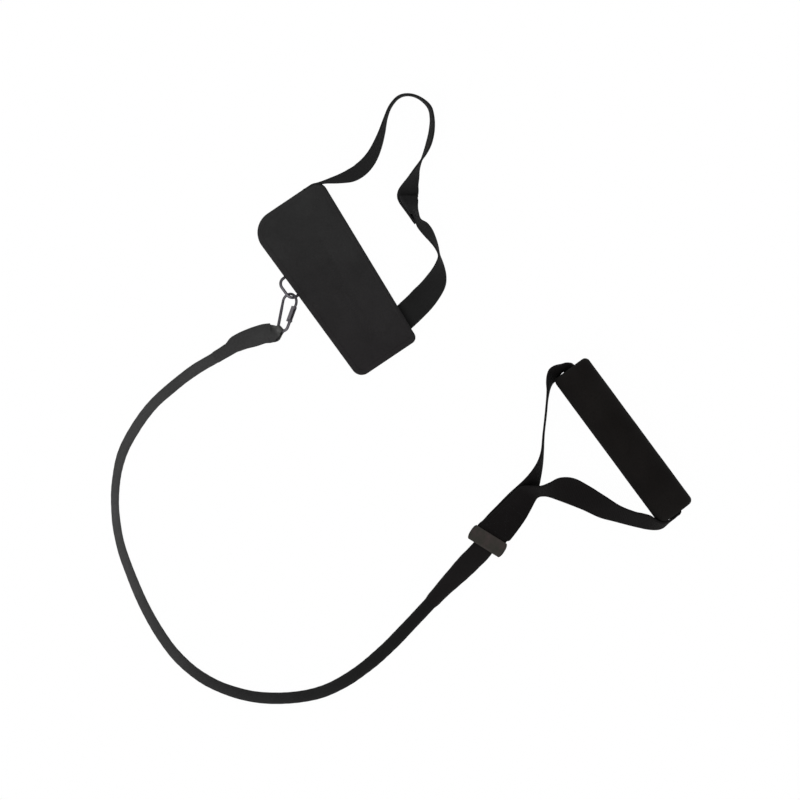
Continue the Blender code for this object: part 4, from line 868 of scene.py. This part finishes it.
def stitched_box(foot, top, thick, start, end, crossed=False):
    """Stitches round a rectangle on both faces of a ribbon, between two distances along it, and from corner
    to corner where it is crossed."""
    normal, place = face_normals(foot, top), middle_run(foot, top)
    low, high = 0.13, 0.87
    corners = [(start, low), (end, low), (end, high), (start, high), (start, low)]
    legs = [*zip(corners, corners[1:])] + [(corners[0], corners[2]), (corners[3], corners[1])] * crossed
    rows = []
    for side in (1, -1):
        for (from_place, from_share), (to_place, to_share) in legs:
            at = np.linspace(from_place, to_place, 30)
            share = np.linspace(from_share, to_share, 30)[:, None]
            near, far, face = (rows_at(at, place, edge) for edge in (foot, top, normal * side))
            line = near + (far - near) * share + face * thick / 2
            rows.append(stitch_row(line, face, 2.6 * MM, 1.9 * MM))
    return rows


def upper_strap_edges():
    """The upper length with its end in the closure."""
    return smooth_edges(*station_edges(STRAP_UPPER + CLOSURE, STRAP_WIDTH), STRAP_STEPS)


HOOK_PLACE = STRAP_THICK / 2 + PATCH_GAP + PATCH_THICK / 2
LOOP_PLACE = HOOK_PLACE + PATCH_THICK + PATCH_GAP
LOWER_PLACE = LOOP_PLACE + PATCH_THICK / 2 + PATCH_GAP + STRAP_THICK / 2


def lower_strap_edges():
    """The lower length lies under the closure and runs on from it; its first two stations are narrower."""
    foot, top = station_edges(CLOSURE, STRAP_WIDTH)
    drop = face_normals(foot, top) * LOWER_PLACE
    foot, top = (foot - drop)[PATCH_FIRST:-2], (top - drop)[PATCH_FIRST:-2]
    foot[:2] += unit(top - foot)[:2] * UNDERLAP
    more_foot, more_top = station_edges(STRAP_LOWER, STRAP_WIDTH)
    return smooth_edges(np.vstack([foot, more_foot]), np.vstack([top, more_top]), STRAP_STEPS)


def patch_edges(distance):
    """The upper strap's edges where the patch is: off its face by the distance, and 1 mm in."""
    foot, top = upper_strap_edges()
    drop, inset = face_normals(foot, top) * distance, unit(top - foot) * MM
    first, last = ((len(STRAP_UPPER) + station) * STRAP_STEPS for station in (PATCH_FIRST, PATCH_LAST))
    return (foot + inset - drop)[first:last + 1], (top - inset - drop)[first:last + 1]


# Cord: one middle line on the floor; the sheath is pushed along the core, so its width changes slowly

CORD_ROUTE = [
    (-90.5, -58.5), (-106.0, -67.7), (-121.5, -79.5), (-137.5, -94.0), (-150.5, -111.5),
    (-160.5, -131.0), (-165.2, -153.5), (-165.3, -176.5), (-161.5, -199.0), (-153.7, -221.5),
    (-144.0, -244.0), (-132.5, -264.5), (-119.5, -282.0), (-103.0, -296.5), (-84.0, -306.5),
    (-60.5, -312.8), (-35.5, -313.5), (-13.0, -309.7), (5.5, -301.5), (23.0, -289.5),
    (39.5, -275.0), (55.0, -259.0), (70.5, -242.5),
]
CUFF_SLEEVE_ROUTE = [(-90.5, -58.5), (-79.0, -51.5), (-68.0, -46.0), (-56.5, -42.0), (-53.0, -41.0)]
HANDLE_SLEEVE_ROUTE = [(70.5, -242.5), (82.0, -230.0), (92.0, -219.0), (100.5, -209.5), (107.0, -202.5)]
SHEATH_WIDTHS = ((0.0, 8.7), (0.1, 8.0), (0.2, 7.6), (0.27, 5.9), (0.36, 6.7), (0.48, 7.6), (0.62, 8.2),
                 (0.76, 8.9), (0.9, 9.7), (1.0, 9.7))


WHOLE_ROUTE = np.array(CUFF_SLEEVE_ROUTE[:0:-1] + CORD_ROUTE + HANDLE_SLEEVE_ROUTE[1:]) * MM
ROUTE_STEPS = 16
WHOLE_LINE = smooth_line(np.column_stack([WHOLE_ROUTE, np.zeros(len(WHOLE_ROUTE))]), ROUTE_STEPS)
CORD_START = (len(CUFF_SLEEVE_ROUTE) - 1) * ROUTE_STEPS
CORD_END = CORD_START + (len(CORD_ROUTE) - 1) * ROUTE_STEPS
FREE_LINE = WHOLE_LINE[CORD_START:CORD_END + 1]
CUFF_SLEEVE_LINE = WHOLE_LINE[CORD_START::-1]
HANDLE_SLEEVE_LINE = WHOLE_LINE[CORD_END:]
MOUTH_DEPTH, ABOVE_FLOOR = 3.0 * MM, 0.02 * MM


def sheath():
    """Rings along the cord. Its radius follows the widths and gathers into small slanting creases:
    r = w(s) / 2 + c sin(2 pi s / 7 mm + a), and its middle lies one radius over the floor."""
    whole = running(FREE_LINE)[-1]
    lengths = np.linspace(-MOUTH_DEPTH + GAP, whole + MOUTH_DEPTH - GAP, round(whole / (0.9 * MM)))
    line = at_lengths(WHOLE_LINE, running(WHOLE_LINE)[CORD_START] + lengths)
    fine = np.linspace(0, 1, 400)
    widths = np.pad(np.interp(fine, *zip(*SHEATH_WIDTHS)), 14, mode="edge")
    radius = np.interp(lengths / whole, fine, np.convolve(widths, np.ones(29) / 29, "valid")) / 2 * MM
    slow = uneven(lengths / (22 * MM), 0.2, 31, 6) * 0.10
    slant = lengths / (7.0 * MM) * 2 * np.pi + uneven(lengths / (60 * MM), 0, 8) * 4
    crease = 0.035 + 0.03 * uneven(lengths / (50 * MM), 0.7, 14)
    hidden = 0.12 * MM * (soft_step(-lengths / MM) + soft_step((lengths - whole) / MM))
    line[:, 2] = radius + ABOVE_FLOOR
    rough = slow[:, None] + np.sin(slant[:, None] + full_turn(30)) * crease[:, None]
    return tube(line, (radius - hidden)[:, None] + rough * MM, 30), line


SHEATH_PART, SHEATH_LINE = sheath()


def oval_sleeve(line, widths, heights, middles, square=2.0, seed=3):
    """Rings of an oval |x/a|^n + |z/b|^n = 1 along a line, a little uneven."""
    across = unit(np.cross(tangents(line) * (1, 1, 0), UP))
    angle = full_turn(40)
    x, z = (np.sign(part) * np.abs(part) ** (2 / square) for part in (np.cos(angle), np.sin(angle)))
    rough = 1 + 0.022 * uneven(running(line)[:, None] / (9 * MM), np.cos(angle)[None], seed)
    centre = np.column_stack([line[:, :2], middles])
    return centre[:, None] + across[:, None] * (x * rough * widths[:, None] / 2)[..., None] \
        + UP * (z * rough * heights[:, None] / 2)[..., None]


def with_mouth(grid, line, width):
    """A sleeve's rings with a round blind hole in the first one, where the cord's sheath goes in."""
    way = unit((line[1] - line[0]) * (1, 1, 0))
    across = unit(np.cross(way, UP))
    centre = line[0] * (1, 1, 0) + UP * (width / 2 + ABOVE_FLOOR)
    hole = centre + spin(across, UP, full_turn(grid.shape[1])[:, None]) * (width / 2 + 0.06 * MM)
    rings = np.stack([hole + way * MOUTH_DEPTH, hole + way * 0.1 * MM, hole * 0.5 + grid[0] * 0.5])
    return np.concatenate([rings, grid])


LOOP_TURN = math.radians(-148.0)
LOOP_PULL = level(LOOP_TURN)
LOOP_LEVEL = unit(np.cross(LOOP_PULL, UP))
LOOP_TAIL, LOOP_TAPE, LOOP_TOP = 7.6 * MM, 0.8 * MM, 8.35 * MM


def on_foot(turn):
    """The point of the link's foot at this angle from its far end towards the closed leg."""
    return on_link(LINK_LENGTH - LINK_FOOT_RADIUS + LINK_FOOT_RADIUS * math.cos(turn),
                   -LINK_FOOT_RADIUS * math.sin(turn))


SLEEVE_MOUTH = (on_foot(math.radians(50.0)) + LOOP_PULL * LOOP_TAIL - LOOP_LEVEL * 0.9 * MM) * (1, 1, 0)
SLEEVE_STEP = 14.5 * MM


def cuff_sleeve():
    """The sheath's folded end: slim as the cord, then a lip on its upper side, and wide at the loop."""
    line = CUFF_SLEEVE_LINE[(CUFF_SLEEVE_LINE - SLEEVE_MOUTH) @ LOOP_PULL > 4 * MM]
    line = np.vstack([line, SLEEVE_MOUTH + LOOP_PULL * 2 * MM, SLEEVE_MOUTH])
    line = even_line(smooth_line(even_line(line, 5 * MM), 8), 0.8 * MM)
    place = running(line)
    lip = soft_step((place - SLEEVE_STEP + 3 * MM) / (7.5 * MM))
    swell = soft_step((place - SLEEVE_STEP) / (20 * MM))
    round_in = 1 - 0.03 * bump(place, 0.0, 0.9 * MM)
    early = soft_step(place / SLEEVE_STEP)
    widths = (9.2 + 0.6 * early + 2.6 * lip + 2.3 * swell) * MM * round_in
    heights = (9.2 + 0.2 * lip - 1.1 * swell) * MM * round_in
    side = unit(np.cross(tangents(line) * (1, 1, 0), UP))
    line = line - side * ((1.1 * lip - 0.4 * swell) * MM)[:, None]
    grid = oval_sleeve(line, widths, heights, heights / 2 + 0.08 * MM, square=2.2)
    return shell(with_mouth(grid, line, 8.7 * MM))


def fold_loop():
    """The tape from the sleeve round the link's foot and back, flaring as soon as it has left the wire."""
    turn, reach = math.radians(25.0), 1.9 * MM
    contact = on_foot(turn)
    wire_way = unit(LINK_P * -math.sin(turn) - LINK_Q * math.cos(turn))
    wire_pull = unit(np.cross(UP, wire_way) * (1, 1, 0))
    tail = np.linspace(1, 0, 22)
    angle = np.linspace(-np.pi / 2, -1.5 * np.pi, 16)[1:-1]
    share = np.concatenate([tail, 0 * angle, tail[::-1]])
    side = np.concatenate([0 * tail - 1, np.sin(angle), 0 * tail + 1])
    inward = np.concatenate([0 * tail, np.cos(angle), 0 * tail])
    eased = soft_step(share)[:, None]
    end = SLEEVE_MOUTH + LOOP_PULL * 3.0 * MM + UP * 4.2 * MM
    across = unit(wire_way * (1 - eased) + LOOP_LEVEL * eased)
    pull = unit(wire_pull * (1 - eased) + LOOP_PULL * eased)
    height = (reach + 1.7 * MM * soft_step((share - 0.3) / 0.45)) * side
    middle = contact + (end - contact) * share[:, None]
    middle = middle + unit(np.cross(across, pull)) * height[:, None] + pull * (inward * reach)[:, None]
    aside = np.interp(share, (0, 0.12, 0.3, 1.0), (0.1, 0.5, 0.6, 0.6))[:, None] * MM
    middle = middle + LOOP_LEVEL * aside
    half = np.interp(share, (0, 0.12, 0.3, 0.5, 0.75, 1.0), (3.3, 4.5, 6.1, 7.1, 7.1, 6.4))[:, None] * MM
    foot, top = even_edges(middle - across * half, middle + across * half, 0.6 * MM)
    part = ribbon(foot, top, LOOP_TAPE, across=20, soft=0.0)
    part["points"][:, 2] = np.clip(part["points"][:, 2], 0.05 * MM, LOOP_TOP)
    place = middle_run(foot, top)
    # Painted highlight: the tape's turn round the link's foot is painted pale through its wear values, as a
    # glint on the fold.
    rub_and_glint = bump(place, place[-1] / 2 + 4.5 * MM, 2.2 * MM)
    worn_and_glint = np.clip(rub_and_glint[:, None] * (0.6 + 0.4 * uneven(np.linspace(0, 2, 40), 0.0, 4))[None], 0, 1)
    part["wear"] = np.append(worn_and_glint, [0, 0])
    return part


COLLAR_TURN = math.radians(58.0)
COLLAR_AXIS = level(COLLAR_TURN)
COLLAR_ACROSS = unit(np.cross(COLLAR_AXIS, UP))
COLLAR_INSIDE, COLLAR_WALL, COLLAR_LENGTH = 6.2 * MM, 1.2 * MM, 12.0 * MM
COLLAR_HEIGHT = COLLAR_INSIDE / 2 + COLLAR_WALL
COLLAR_MIDDLE = np.array([113.5 * MM, -196.0 * MM, COLLAR_HEIGHT])
WEBBING_WIDTH, WEBBING_THICK = 25.0 * MM, 1.7 * MM
TONGUE_THICK, WEBBING_END = 1.4 * MM, -2.0 * MM


def handle_sleeve():
    """Round at the cord, wide and flat in the collar, its tongue thin between the webbing's two ends."""
    end = COLLAR_MIDDLE + COLLAR_AXIS * (WEBBING_END - 2 * GAP)
    flat_end = end * (1, 1, 0)
    line = np.vstack([HANDLE_SLEEVE_LINE[:-3 * ROUTE_STEPS], flat_end - COLLAR_AXIS * 4 * MM, flat_end])
    line = even_line(smooth_line(even_line(line, 6 * MM), 8), 0.9 * MM)
    share = np.linspace(0, 1, len(line))
    swell = soft_step(share / 0.75)
    flatten = np.clip((share - 0.35) / 0.65, 0, 1)
    start = 1 - bump(share, 0.0, 0.015) * 0.03
    widths = (10.2 + 0.9 * soft_step(share / 0.08) + 5.0 * swell) * MM * start
    heights = (10.2 - 1.0 * soft_step(share / 0.3) - 4.0 * flatten) * MM * start
    middle = 5.1 * MM
    middles = middle + (COLLAR_HEIGHT - middle) * flatten
    grid = oval_sleeve(line, widths, heights, middles, square=2.2, seed=6)
    tongue = flat_end + COLLAR_AXIS * np.linspace(GAP, 8.0 * MM, 6)[:, None]
    thin = oval_sleeve(tongue, np.full(6, 15.0 * MM), np.full(6, TONGUE_THICK), np.full(6, COLLAR_HEIGHT))
    return shell(np.vstack([with_mouth(grid, line, 9.7 * MM), thin]))


def rounded_box(width, height, corner):
    """(across, up) pairs round a box with round corners; the straight sides are split into parts."""
    arcs = []
    for quarter, sides in enumerate(((1, 1), (-1, 1), (-1, -1), (1, -1))):
        angle = np.pi / 2 * (quarter + np.linspace(0, 1, 9))
        centre = np.array([width / 2 - corner, height / 2 - corner]) * sides
        arcs.append(centre + corner * np.column_stack([np.cos(angle), np.sin(angle)]))
    return joined_arcs(arcs, (10, 10))


def collar():
    """The moulded keeper: ends rounded in plan, rims rounded over, faces slightly hollow."""
    inside_width = WEBBING_WIDTH + 4 * GAP
    wide, high = inside_width + 2 * COLLAR_WALL + 1.2 * MM, COLLAR_INSIDE + 2 * COLLAR_WALL
    half, rim, end = COLLAR_LENGTH / 2, 1.0 * MM, 2.6 * MM
    rounding = -half + rim * (1 - np.cos(np.linspace(0, np.pi / 2, 7)))
    places = np.concatenate([rounding, np.linspace(-half + rim, half - rim, 17)[1:-1], -rounding[::-1]])
    rings = []
    for place in places:
        past_rim = max(abs(place) - half + rim, 0.0)
        past_end = max(abs(place) - half + 2 * end, 0.0) / (2 * end)
        less = rim * (1 - math.sqrt(max(1 - (past_rim / rim) ** 2, 0.0)))
        hollow = 0.10 * MM * math.cos(math.pi * place / half / 2)
        width = wide - 2 * end * (1 - math.sqrt(max(1 - past_end**2, 0.0))) * 0.75
        box = rounded_box(max(width, inside_width + 0.5 * MM), high - 2 * (less + hollow), 2.4 * MM)
        rings.append((place, box))
    for place in (half - 0.2 * MM, half - 0.6 * MM, 0.0, -half + 0.6 * MM, -half + 0.2 * MM):
        flare = 0.25 * MM if abs(place) > half - 0.4 * MM else 0.0
        rings.append((place, rounded_box(inside_width + flare, COLLAR_INSIDE + flare, 0.5 * MM + flare)))
    grid = np.stack([COLLAR_MIDDLE + COLLAR_AXIS * place + COLLAR_ACROSS * box[:, :1] + UP * box[:, 1:]
                     for place, box in rings])
    wear = np.array([bump(abs(place), half, 1.0 * MM) for place, _ in rings])
    return shell(grid, "joined", wear=wear[:, None] * 0.4)


# Handle: the grip's axis and the webbing that runs through it

GRIP_TURN = math.radians(-53.56)
GRIP_AXIS = level(GRIP_TURN)
GRIP_SIDE = np.cross(UP, GRIP_AXIS)
GRIP_LENGTH, GRIP_DIAMETER = 135.0 * MM, 31.0 * MM
GRIP_START = np.array([175.0 * MM, -66.5 * MM, GRIP_DIAMETER / 2])
TUBE_OUTSIDE, TUBE_INSIDE = 22.0 * MM, 19.0 * MM
BORE_FOOT = -GRIP_SIDE * 4.6 * MM - UP * 6.8 * MM
BORE_TOP = GRIP_SIDE * 4.0 * MM + UP * 6.3 * MM

LEG_UP = [
    (130.8, -194.3, 2.2, 110.9, -179.4), (136.2, -185.8, 1.4, 118.2, -171.6),
    (141.0, -178.2, 0.9, 124.5, -165.2), (144.6, -171.4, 0.6, 130.5, -159.3),
    (148.2, -164.4, 0.5, 136.6, -153.9), (151.6, -156.3, 0.4, 142.9, -147.9),
    (153.3, -147.5, 0.4, 148.2, -141.4), (154.6, -138.0, 0.4, 151.8, -135.2),
    (155.2, -128.0, 0.4, 154.1, -127.4), (155.7, -116.0, 0.4, 155.2, -116.0),
    (157.1, -102.0, 0.4, 156.9, -102.0), (158.0, -93.0, 0.4, 157.7, -92.5),
    (159.2, -85.5, 0.8, 158.2, -83.2), (160.6, -80.6, 1.2, 157.8, -77.2),
    (162.6, -77.4, 1.8, 158.2, -71.8, 0.98), (165.0, -75.9, 2.6, 159.8, -67.4, 0.93),
    (166.7, -73.6, 3.7, 163.4, -64.8, 0.85), (167.8, -71.6, 5.4, 168.6, -63.6, 0.76),
    (168.9, -69.9, 7.6, 173.8, -62.6, 0.68),
]
LEG_DOWN = [
    (250.4, -180.0, 7.2, 254.6, -177.0, 0.66), (247.8, -183.2, 5.2, 249.9, -180.2, 0.76),
    (244.6, -186.0, 3.2, 245.2, -181.8, 0.88), (239.8, -187.3, 1.6, 241.2, -181.0, 0.97),
    (233.0, -186.9, 1.0, 235.3, -177.0), (226.8, -185.6, 0.8, 229.4, -175.3),
    (220.9, -184.2, 0.6, 223.5, -174.0), (209.2, -181.2, 0.5, 212.6, -169.6),
    (197.8, -178.3, 0.5, 201.9, -162.6), (185.0, -172.5, 0.5, 190.0, -155.0),
    (173.5, -168.0, 0.5, 178.5, -149.0), (165.0, -164.8, 0.5, 168.2, -148.4),
    (158.8, -162.6, 0.6, 160.2, -152.2), (155.2, -162.1, 1.0, 153.4, -154.8),
    (152.1, -162.7, 1.8, 146.4, -154.8),
]


def webbing_edges():
    """Both edges of the webbing: from one end in the collar, up, through the grip, and back over itself."""
    across = COLLAR_ACROSS * WEBBING_WIDTH / 2
    layer = (TONGUE_THICK + WEBBING_THICK) / 2 + GAP
    places = np.array([[WEBBING_END], [2.8 * MM], [7.6 * MM]])
    low = COLLAR_MIDDLE + COLLAR_AXIS * places - UP * layer
    bore = GRIP_START + GRIP_AXIS * np.linspace(1.5 * MM, GRIP_LENGTH - 1.5 * MM, 7)[:, None]
    up_foot, up_top = station_edges(LEG_UP, WEBBING_WIDTH)
    down_foot, down_top = station_edges(LEG_DOWN, WEBBING_WIDTH)
    foot = np.vstack([low + across, up_foot, bore + BORE_FOOT, down_foot])
    top = np.vstack([low - across, up_top, bore + BORE_TOP, down_top])
    step, last = WEBBING_THICK + 2 * GAP, len(low) + 4
    normal = face_normals(foot[:last + 1], top[:last + 1])
    for index in range(last, -1, -1):
        way = UP if index < len(low) else normal[index] * np.sign(normal[index][2])
        rise = way * (step + (2 * layer - step) * min((last - index) / 4, 1.0))
        foot, top = np.vstack([foot, foot[index] + rise]), np.vstack([top, top[index] + rise])
    return foot, top


def turned(profile, sides):
    """A lathed tube round the grip's axis from (place along it, radius) pairs."""
    place, radius = np.array(profile).T[..., None, None]
    return GRIP_START + GRIP_AXIS * place + spin(GRIP_SIDE, UP, full_turn(sides)[:, None]) * radius


def grip_foam():
    """The foam sleeve: its corners rounded over, its skin softly uneven."""
    radius, edge, bore, sides = GRIP_DIAMETER / 2, 4.0 * MM, TUBE_OUTSIDE / 2 + GAP, 96
    turns = np.linspace(np.pi / 2, 0, 12)
    start = [(edge * (1 - math.sin(turn)), radius - edge * (1 - math.cos(turn))) for turn in turns]
    straight = [(x, radius) for x in np.linspace(edge, GRIP_LENGTH - edge, 60)[1:-1]]
    outside = start + straight + [(GRIP_LENGTH - x, r) for x, r in start[::-1]]
    mouth = [(0.1 * MM, bore + 0.3 * MM), (0.6 * MM, bore)]
    inside = [(GRIP_LENGTH - x, r) for x, r in mouth] + [(GRIP_LENGTH / 2, bore)] + mouth[::-1]
    grid = turned(outside + inside, sides)
    place = np.array(outside + inside)[:, :1]
    skin = uneven(place / (34 * MM), np.cos(full_turn(sides))[None], 21) * 0.10 * MM
    skin[len(outside):] = 0
    axis = GRIP_START + GRIP_AXIS * place[..., None]
    grid = grid + unit(grid - axis) * (skin - 0.10 * MM)[..., None]
    wear = bump(place, 0, 3 * MM) + bump(place, GRIP_LENGTH, 3 * MM)
    return shell(grid, "joined", wear=wear * 0.4)


def core_tube():
    """The tube in the grip: its outside and inside, with a 0.3 mm bevel at each rim."""
    start, end, outer, inner = 2.0 * MM, GRIP_LENGTH - 2.0 * MM, TUBE_OUTSIDE / 2, TUBE_INSIDE / 2
    small = 0.3 * MM
    outside = [(start, outer - small), (start + small, outer), (end - small, outer), (end, outer - small)]
    inside = [(end, inner + small), (end - small, inner), (start + small, inner), (start, inner + small)]
    return shell(turned(outside + inside, 64), "joined")


# Every piece


def make_cuff():
    """The cuff's pieces. The lining is flat rings of the outline joined by a rounded rim."""
    pad = slotted(piece("cuff_padded_cover", cuff_cover(), CUFF_CLOTH, "cuff"))
    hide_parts("cuff_cover", "cuff_foam_pad")
    slotted(piece("cuff_binding_tape", tape_ring(), BINDING_TAPE, "cuff", ["cuff_edge_binding"]))
    side = [(0.5, 0.0), (0.12, 0.15), (0.0, 0.5), (0.0, 1.0), (0.12, 1.28), (0.5, LINING_TOP / MM)]
    faces = [cuff_ring(outline(COVER_INSET + 6 * MM, share), 0.0) for share in (0.15, 0.5, 0.8, 1.0)]
    rings = faces + [cuff_ring(outline(COVER_INSET + step * MM), z * MM) for step, z in side] \
        + [face + UP * LINING_TOP for face in faces[::-1]]
    piece("cuff_lining_cloth", shell(np.stack(rings)), LINING_CLOTH, "cuff", ["cuff_lining"])


def tape_stitches():
    """One row of stitches through the tape, all round the cuff."""
    ring = outline(SEAM_INSET)
    closed = np.vstack([ring, ring[:1]])
    line = on_cuff(closed, cuff_height(closed) + 0.20 * MM)
    return stitch_row(line, np.repeat(UP[None], len(line), 0), 2.9 * MM, 2.1 * MM)


def make_straps():
    """Both lengths of the strap with their stitched ends, and the two patches between them."""
    for name, edges, seed in (("strap_upper", upper_strap_edges, 3), ("strap_lower", lower_strap_edges, 4)):
        foot, top = even_edges(*edges(), ROW_STEP)
        piece(name + "_webbing", ribbon(foot, top, STRAP_THICK, seed=seed), STRAP_WEBBING, "cuff", [name])
        whole = middle_run(foot, top)[-1]
        start, end = (whole - 26 * MM, whole - 6 * MM) if name == "strap_upper" else (3 * MM, 17 * MM)
        piece(name + "_threads", stitched_box(foot, top, STRAP_THICK, start, end), DARK_THREAD, "cuff")
    for name, distance, look in (("hook_patch", HOOK_PLACE, HOOK_PLASTIC),
                                 ("loop_patch", LOOP_PLACE, LOOP_PILE)):
        foot, top = even_edges(*patch_edges(distance), ROW_STEP)
        piece(name + "_tape", ribbon(foot, top, PATCH_THICK, soft=0.0), look, "cuff", [name])


def make_handle():
    """Sleeve, collar, webbing with its crossed stitches, foam grip and tube."""
    piece("handle_sleeve_cloth", handle_sleeve(), SLEEVE_HANDLE_END_PAINTED_SHADE, "cord", ["handle_end_sleeve"])
    piece("collar_moulding", collar(), COLLAR_RUBBER, "cord", ["collar"])
    foot, top = even_edges(*smooth_edges(*webbing_edges(), 14), 1.1 * MM)
    piece("handle_webbing_tape", ribbon(foot, top, WEBBING_THICK, 20, seed=8), HANDLE_WEBBING_LOOK, "cord",
          ["handle_webbing"])
    whole = middle_run(foot, top)[-1]
    rows = stitched_box(foot, top, WEBBING_THICK, whole - 34 * MM, whole - 12 * MM, True)
    piece("handle_webbing_threads", rows, DARK_THREAD, "cord")
    piece("grip_foam_sleeve", grip_foam(), GRIP_FOAM, "grip", ["grip_foam"])
    piece("grip_tube", core_tube(), TUBE_PLASTIC, "grip", ["grip_core_tube"])


def make_cord():
    """The sheath, its sleeve at the cuff end and the loop round the link."""
    sheath_piece = piece("sheath_cloth", SHEATH_PART, SHEATH, "cord", ["cord_sheath", "cord_core"])
    piece("cuff_sleeve_cloth", cuff_sleeve(), SLEEVE_CUFF_END_PAINTED_LIGHT, "cord", ["cuff_end_sleeve"])
    piece("link_fold_loop", fold_loop(), SLEEVE_CUFF_END_PAINTED_LIGHT, "cord", ["cuff_end_loop"])


make_cuff()
piece("cuff_threads", tape_stitches(), THREAD, "cuff")
piece("ring_tab_webbing", ring_tab(), STRAP_WEBBING, "cuff", ["ring_tab"])
piece("d_ring_wire", d_ring(), DARK_STEEL, "ring", ["d_ring"])
piece("link_wire", link_wire(), DARK_STEEL, "link", ["link_body"])
piece("link_rivet", rivet(), DARK_STEEL, "link", ["gate_pin"])
make_straps()
make_handle()
make_cord()


# What stays as packed: the gate with its spring, and the ferrules inside the sleeves

for name, look in (("link_gate", GATE_STEEL), ("gate_spring", SPRING_STEEL),
                   ("cuff_end_ferrule", FERRULE_METAL), ("handle_end_ferrule", FERRULE_METAL)):
    for kept in bpy.data.objects:
        if kept.type == "MESH" and kept.name.startswith(name):
            kept.data.materials.clear()
            kept.data.materials.append(look)


# Light: a white room, a soft key from the upper left and a white floor that takes only a faint shadow


ROOM_LIGHT, FLOOR_TINT, FLOOR_HALF, FLOOR_DROP = 0.55, 0.012, 3.0, 0.4 * MM


def empty_tree(owner):
    """The owner's node tree, emptied, and what it knows of the ray."""
    n = Nodes(owner)
    n.tree.nodes.clear()
    return n, n.add("LightPath").node.outputs


def make_world():
    """Soft light from all round; the camera sees plain white instead."""
    world = bpy.data.worlds.new("room")
    bpy.context.scene.world = world
    n, ray = empty_tree(world)
    room, seen = (n.add("Background", {"Color": (1.0, 1.0, 1.0), "Strength": strength})
                  for strength in (ROOM_LIGHT, 1.0))
    mixed = n.add("MixShader", {0: ray["Is Camera Ray"], 1: room, 2: seen})
    n.add("OutputWorld", {"Surface": mixed})


def make_sun(name, strength, up, side, angle):
    """A sun that shines down at this slope from upright, turned to this side, in degrees."""
    data = bpy.data.lights.new(name, "SUN")
    data.energy, data.angle = strength, angle
    show(name, data).rotation_euler = (math.radians(up), 0.0, math.radians(side))


def make_floor():
    """White ground that takes a faint shadow; what a swung joint carries below it still shows through."""
    corners = [(x * FLOOR_HALF, y * FLOOR_HALF, 0.0) for x, y in ((-1, -1), (1, -1), (1, 1), (-1, 1))]
    mesh = bpy.data.meshes.new("floor")
    mesh.from_pydata(corners, [], [(0, 1, 2, 3)])
    floor = show("floor", mesh)
    floor.location = (0.0, 0.0, -FLOOR_DROP)
    n, ray = empty_tree(bpy.data.materials.new("floor_white"))
    faint = n.add("BsdfDiffuse", {"Color": (FLOOR_TINT,) * 3})
    clear = n.add("BsdfTransparent", {"Color": (1 - FLOOR_TINT,) * 3})
    shown = n.add("AddShader", {0: faint, 1: clear})
    mirrored = n.sum("MAXIMUM", ray["Is Glossy Ray"], ray["Is Transmission Ray"])
    white = n.add("BsdfDiffuse", {"Color": (0.8, 0.8, 0.8)})
    lit = n.add("MixShader", {0: mirrored, 1: white, 2: n.add("Emission")})
    mixed = n.add("MixShader", {0: ray["Is Camera Ray"], 1: lit, 2: shown})
    n.add("OutputMaterial", {"Surface": mixed})
    mesh.materials.append(n.owner)


make_world()
make_sun("key", 1.3, 30.0, -35.0, 0.7)
make_sun("fill", 0.35, 40.0, 140.0, 0.9)
make_floor()
bpy.context.scene.view_settings.view_transform = "Standard"
